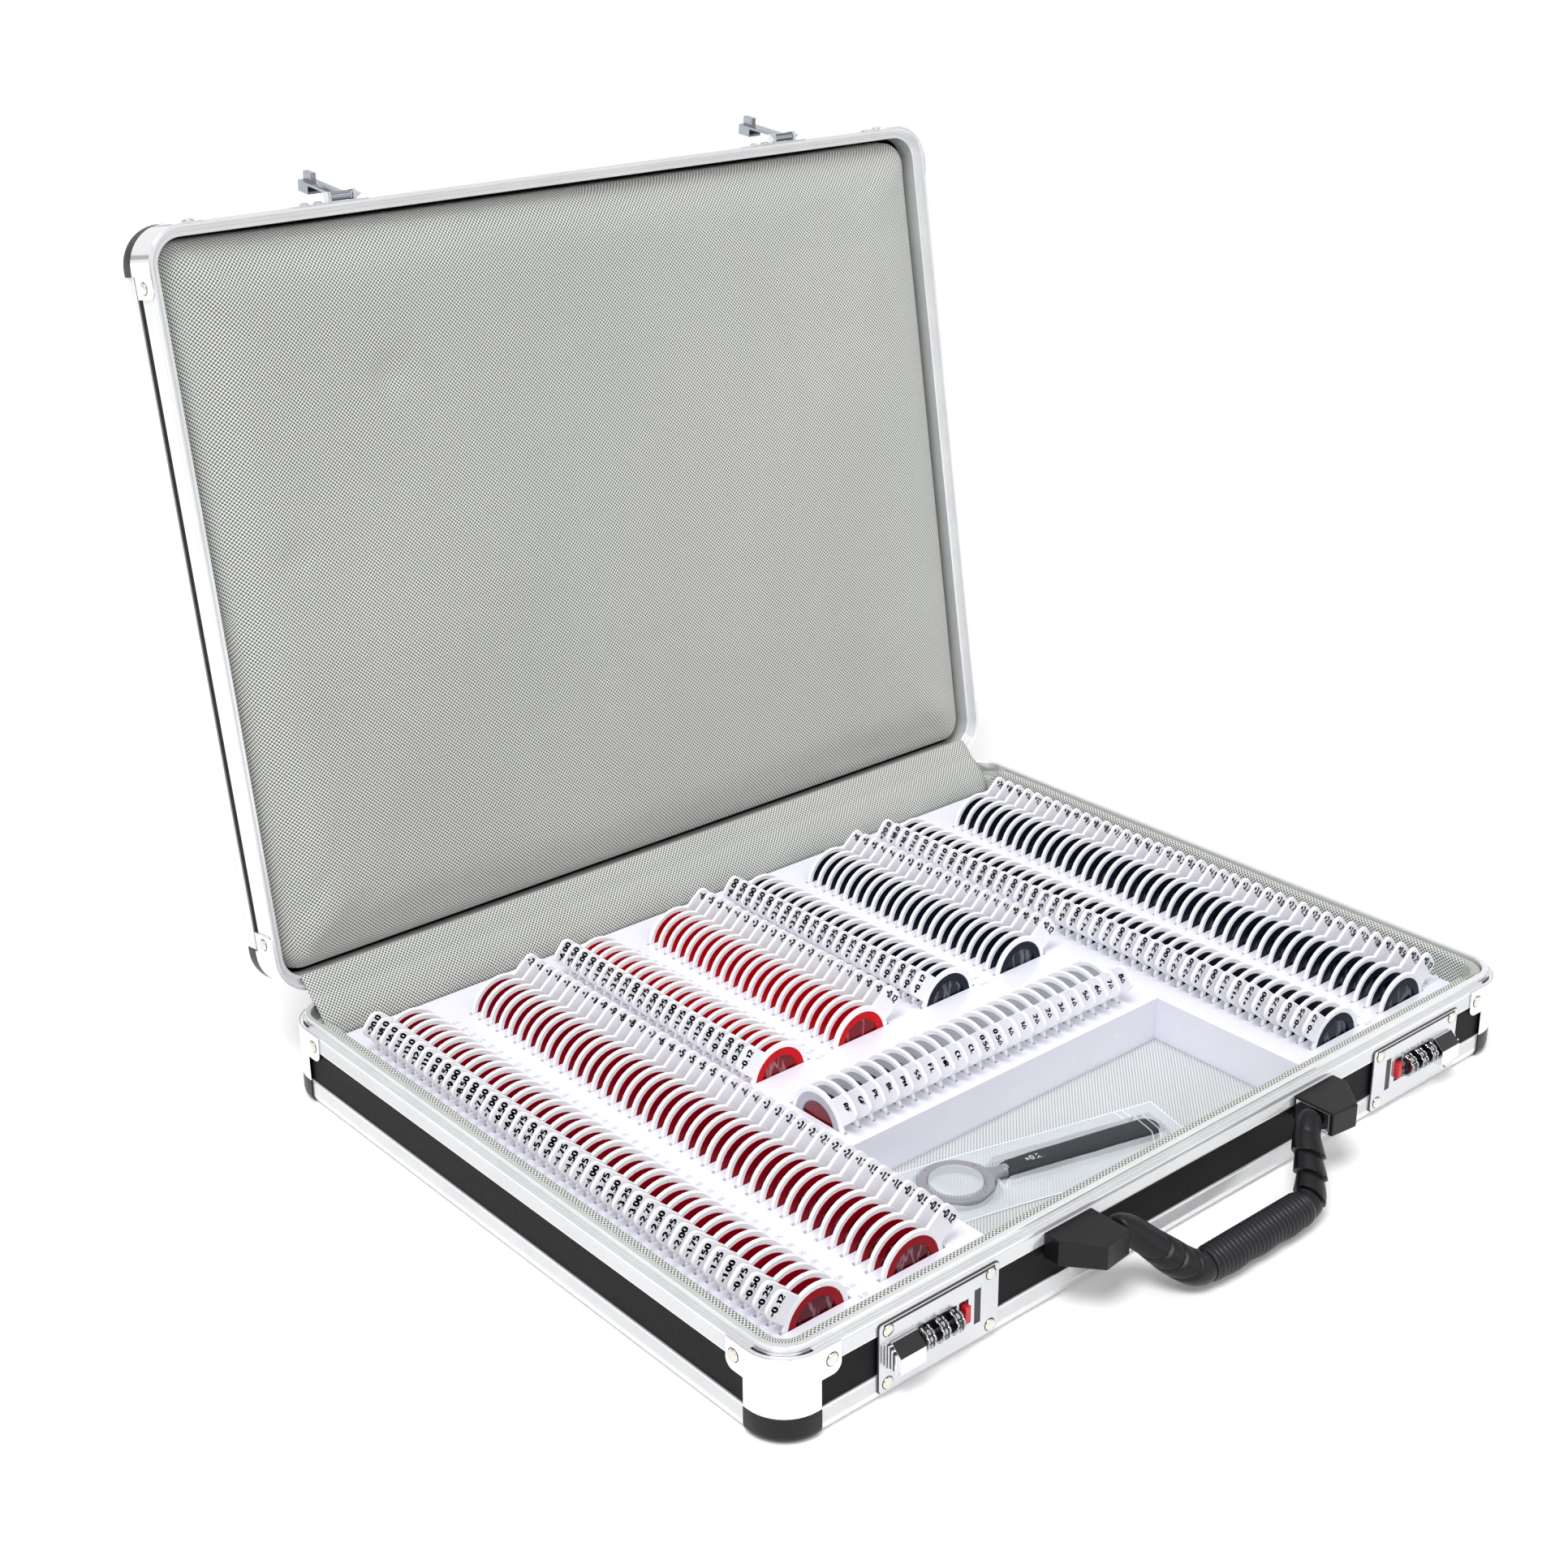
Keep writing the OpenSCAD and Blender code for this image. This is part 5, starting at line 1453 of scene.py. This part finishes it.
def number_dial(node, name, turn):
    """Dial: two scalloped bright rims on a dark drum with pale digits."""
    low, high = box_mm(node)
    middle = (low + high) / 2
    radius, half = (high[2] - low[2]) / 2, (high[0] - low[0]) / 2
    rim_w = 0.95
    t = np.linspace(0, 2 * math.pi, 80, endpoint=False)
    notch = 0.55 * smooth_step(np.cos(10 * t), 0.45, 0.9)
    shell = Shell()
    for x0, x1, inner_r, outer_r, kind in (
        (-half, rim_w - half, radius - 1.4, radius - notch, 0),
        (half - rim_w, half, radius - 1.4, radius - notch, 0),
        (0.15 - half, half - 0.15, 1.6, radius - 0.5 + 0 * t, 1),
    ):
        loops = [(x0, inner_r + 0 * t), (x0, outer_r - 0.2), (x0 + 0.2, outer_r),
                 (x1 - 0.2, outer_r), (x1, outer_r - 0.2), (x1, inner_r + 0 * t)]
        body = np.stack([
            np.stack([x + 0 * t, -r * np.cos(t), r * np.sin(t)], -1) for x, r in loops
        ], 1)
        shell.add(body + middle, grid_quads(len(t), len(loops), True, True), kind=kind)
    place_node(shell.build(name, DIAL, DIAL_BLACK_AND_PAINTED_SHADE, sharp=40), node)
    shell = Shell()
    digit_r = radius - 0.5 + 0.04
    for digit in range(10):
        first = math.radians(36 * (digit + turn) + 18)

        def wrap(flat, first=first):
            a = first + flat[:, 1] / digit_r
            return middle + np.stack([flat[:, 0], -digit_r * np.cos(a), digit_r * np.sin(a)], 1)

        lettering(shell, str(digit), 2.3, None, None, None, 0.09, wrap)
    place(shell.build(name + "_digits", WHITE_PRINT, outward=False), BODY_OF[node], SLOT_OF[node])


# ---- handle ----

PIVOT = np.array(JOINTS["handle_hinge"]["pos_m"]) / MM
GRIP_HALF = 36.0
GRIP_DROP = 33.0
HANG = math.acos((PIVOT[2] - 9.5 - 0.4) / GRIP_DROP)


def swing(points):
    """Turns points of the straight-hanging handle out to where it rests."""
    p = np.asarray(points, float)
    c, s = math.cos(HANG), math.sin(HANG)
    y, z = p[..., 1], p[..., 2]
    return PIVOT + np.stack([p[..., 0], y * c + z * s, -y * s + z * c], -1)


def carry_grip():
    """Bellows grip: many close rings; the finger side swells and dips along its length."""
    rings = 26
    x = np.linspace(-GRIP_HALF, GRIP_HALF, rings * 8 + 1)
    t = np.linspace(0, 2 * math.pi, 40, endpoint=False)
    phase = (x + GRIP_HALF) / (2 * GRIP_HALF) * rings
    ridge = np.sin(np.mod(phase, 1) * math.pi) ** 0.6
    fingers = np.cos(x / GRIP_HALF * 3.5 * math.pi) * 0.5 + 0.5
    under = np.clip(-np.sin(t), 0, 1) ** 1.5
    ends = smooth_step(GRIP_HALF - np.abs(x), 0, 3)
    r = (7.9 + 0.9 * ridge * ends)[:, None] + (0.65 * fingers * ends)[:, None] * under[None]
    body = np.stack([np.repeat(x[:, None], len(t), 1), r * np.cos(t), r * np.sin(t) - GRIP_DROP], -1)
    shell = Shell().add(swing(body), *tube_faces(*body.shape[:2]))
    place(shell.build("carry_grip", GRIP, sharp=70), "handle", "grip_rubber", "handle_grip")


def handle_arms():
    """Arms from pin to grip: an oval carried along a bent line.

    The left one swells into a smooth plate with three oblique grooves; the right one
    is three overlapping scales, each wider towards the grip."""
    bend = [(-72.2, 0), (-68.5, -0.4), (-64.2, -3.4), (-59.6, -9.6), (-54.6, -17),
            (-49.4, -24.2), (-44.2, -29.8), (-39.6, -32.6), (-35.6, -33)]
    centre = smooth_line(bend, 18)
    along = lengths_along(centre)
    share = along / along[-1]
    step = np.gradient(centre, axis=0)
    step /= np.linalg.norm(step, axis=1, keepdims=True)
    across = np.stack([-step[:, 1], step[:, 0]], 1)
    t = np.linspace(0, 2 * math.pi, 40, endpoint=False)
    slant = share[:, None] + 0.05 * np.sin(t + 0.6)[None]
    round_in = np.sqrt(np.clip(1 - ((0.05 - share) / 0.06).clip(0) ** 2, 0.3, 1))
    plate = 1 + 0.16 * smooth_step(share, 0.3, 0.62) - 0.12 * smooth_step(share, 0.82, 1.0)
    steep = share[:, None] + 0.16 * np.sin(t + 0.4)[None]
    groove = sum(np.exp(-((steep - g) / 0.014) ** 2) for g in (0.36, 0.52, 0.68))
    smooth_arm = plate[:, None] * (1 - 0.13 * groove)
    scale = np.mod((slant - 0.2) / 0.21, 1.0)
    scaled = (slant > 0.2) & (slant < 0.83)
    scales = np.where(scaled, 0.86 + 0.28 * scale ** 0.7, 0.9 + 0.14 * smooth_step(slant, 0.83, 0.86))
    for side, sign, grow in (("left", 1, smooth_arm), ("right", -1, scales)):
        flat = 7.3 * round_in[:, None] * np.cos(t)[None] * grow
        body = np.stack([
            centre[:, None, 0] + flat * across[:, None, 0],
            7.2 * round_in[:, None] * np.sin(t)[None] * grow,
            centre[:, None, 1] + flat * across[:, None, 1],
        ], -1)
        body[..., 0] *= sign
        shell = Shell().add(swing(body), *tube_faces(*body.shape[:2]))
        piece = shell.build(side + "_arm", BLACK, sharp=50)
        place(piece, "handle", "black_plastic", f"handle_{side}_arm")


# ---- plain finishes for CAD nodes whose shape stays ----

KEPT = {
    "base_floor_panel": PANEL, "base_side_panels": PANEL, "lid_top_panel": PANEL,
    "lid_side_panels": PANEL, "hinge_base_leaf": TRIM, "hinge_lid_leaf": TRIM,
    "hinge_pin": PIN, "handle_pins": PIN, "left_dial_axle": PIN, "right_dial_axle": PIN,
}


def finish_kept_nodes():
    """CAD nodes that show with their own shape get their paint."""
    for node, paint in KEPT.items():
        mesh = frame["nodes"][node].data
        mesh.materials.clear()
        mesh.materials.append(paint)


# ---- camera, light and floor ----


def set_camera():
    """Camera from the front left, above: axes from its azimuth, elevation and roll."""
    azimuth, elevation, roll = (math.radians(v) for v in (-40.55, 22.13, 0.52))
    stand = Vector((-770.7, -803.2, 648.1)) * MM
    ca, sa, ce, se = math.cos(azimuth), math.sin(azimuth), math.cos(elevation), math.sin(elevation)
    back = Vector((sa * ce, -ca * ce, se))
    right = Vector((ca, sa, 0))
    up = back.cross(right)
    cr, sr = math.cos(roll), math.sin(roll)
    right, up = cr * right - sr * up, sr * right + cr * up
    data = bpy.data.cameras.new("view")
    data.sensor_width = 36.0
    data.lens = 53.970186
    data.shift_x = 0.0005
    data.shift_y = -0.0352
    data.clip_start = 0.05
    data.clip_end = 100.0
    camera = bpy.data.objects.new("view", data)
    axes = Matrix((right, up, back)).transposed().to_4x4()
    camera.matrix_world = Matrix.Translation(stand) @ axes
    bpy.context.scene.collection.objects.link(camera)
    bpy.context.scene.camera = camera


def set_floor():
    """Wide pale floor whose lit part shows white and whose shadow stays."""
    p = Paint("studio_floor")
    mottled = p.cloud(3.0)
    p.finish(
        Base_Color=p.mix(mottled, (0.93, 0.93, 0.93, 1), (0.95, 0.95, 0.95, 1)),
        Roughness=0.9 + mottled * 0.05, Emission_Color=(1, 1, 1, 1),
    )
    p.feed(p.shader.inputs["Emission Strength"], 0.06)
    side, drop = 20.0, -0.0006
    mesh = bpy.data.meshes.new("floor")
    corners = [(-side, -side, drop), (side, -side, drop), (side, side, drop), (-side, side, drop)]
    mesh.from_pydata(corners, [], [(0, 1, 2, 3)])
    floor = bpy.data.objects.new("floor", mesh)
    mesh.materials.append(p.material)
    bpy.context.scene.collection.objects.link(floor)


def sun(name, azimuth, elevation, strength, softness):
    """Soft far lamp that shines from an azimuth and elevation, in degrees."""
    data = bpy.data.lights.new(name, "SUN")
    data.energy = strength
    data.angle = math.radians(softness)
    lamp = bpy.data.objects.new(name, data)
    a, e = math.radians(azimuth), math.radians(elevation)
    toward = Vector((math.sin(a) * math.cos(e), -math.cos(a) * math.cos(e), math.sin(e)))
    lamp.rotation_euler = toward.to_track_quat("Z", "Y").to_euler()
    bpy.context.scene.collection.objects.link(lamp)


def set_light():
    """Pale surroundings, mirrored white with a low and a high dark strip, and two soft lamps."""
    world = bpy.data.worlds.new("studio")
    bpy.context.scene.world = world
    world.use_nodes = True
    p = Paint("studio", world, "Background")
    parts = p.node("ShaderNodeSeparateXYZ", Vector=p.node("ShaderNodeTexCoord", out=0))
    height = Val(p, parts.socket.node.outputs[2])
    path = p.node("ShaderNodeLightPath").socket.node
    seen = Val(p, path.outputs["Is Camera Ray"]) + Val(p, path.outputs["Is Transmission Ray"])
    mirrored = Val(p, path.outputs["Is Glossy Ray"])
    low_strip = height.ramp(0.03, 0.05) * (1.0 - height.ramp(0.1, 0.13))
    high_strip = height.ramp(0.6, 0.64) * (1.0 - height.ramp(0.78, 0.84))
    direct = (seen + mirrored).clamped()
    dark = low_strip * 0.5 + high_strip * 0.6
    ambient = 0.66
    p.finish(Color=(1, 1, 1, 1), Strength=ambient + direct * (1.0 - ambient) - mirrored * dark)
    sun("key", -60, 62, 2.1, 25)
    sun("fill", 8, 38, 0.4, 50)
    bpy.context.scene.view_settings.view_transform = "Standard"


set_camera()
set_floor()
set_light()
finish_kept_nodes()
case_frames()
corner_caps()
softened("base_corner_covers", "base_corners", CHROME, 0.35)
softened("lid_corner_covers", "lid_corners", CHROME, 0.35)
corner_folds()
rivets()
liner()
hinge_flap()
lid_cushion()
compartment_cloth()
softened("lens_tray", "tray", TRAY, 0.4, 2)
tray_teeth()
lens_group("sphere", -1, "minus_spheres", SPHERE_RED, SPHERE_LENS, "sphere_minus_ring")
lens_group("cylinder", -1, "minus_cylinders", CYLINDER_RED, CYLINDER_LENS, "cylinder_minus_ring")
lens_group("cylinder", 1, "plus_cylinders", NAVY, PLUS_LENS, "plus_ring")
lens_group("sphere", 1, "plus_spheres", NAVY, PLUS_LENS, "plus_ring")
accessory_group()
flip_ring()
flip_handle()
flip_marks()
flip_glass()
lens_bag()
lock_hardware()
softened("left_handle_bracket", "left_bracket", BLACK, 0.8, 2)
softened("right_handle_bracket", "right_bracket", BLACK, 0.8, 2)
softened("bracket_plates", "bracket_faces", CHROME, 0.15, 1)
carry_grip()
handle_arms()
softened("hasp_mounts", "hasp_seats", PLATE, 0.3)
softened("left_hasp", "left_latch", HASP, 0.4)
softened("right_hasp", "right_latch", HASP, 0.4)
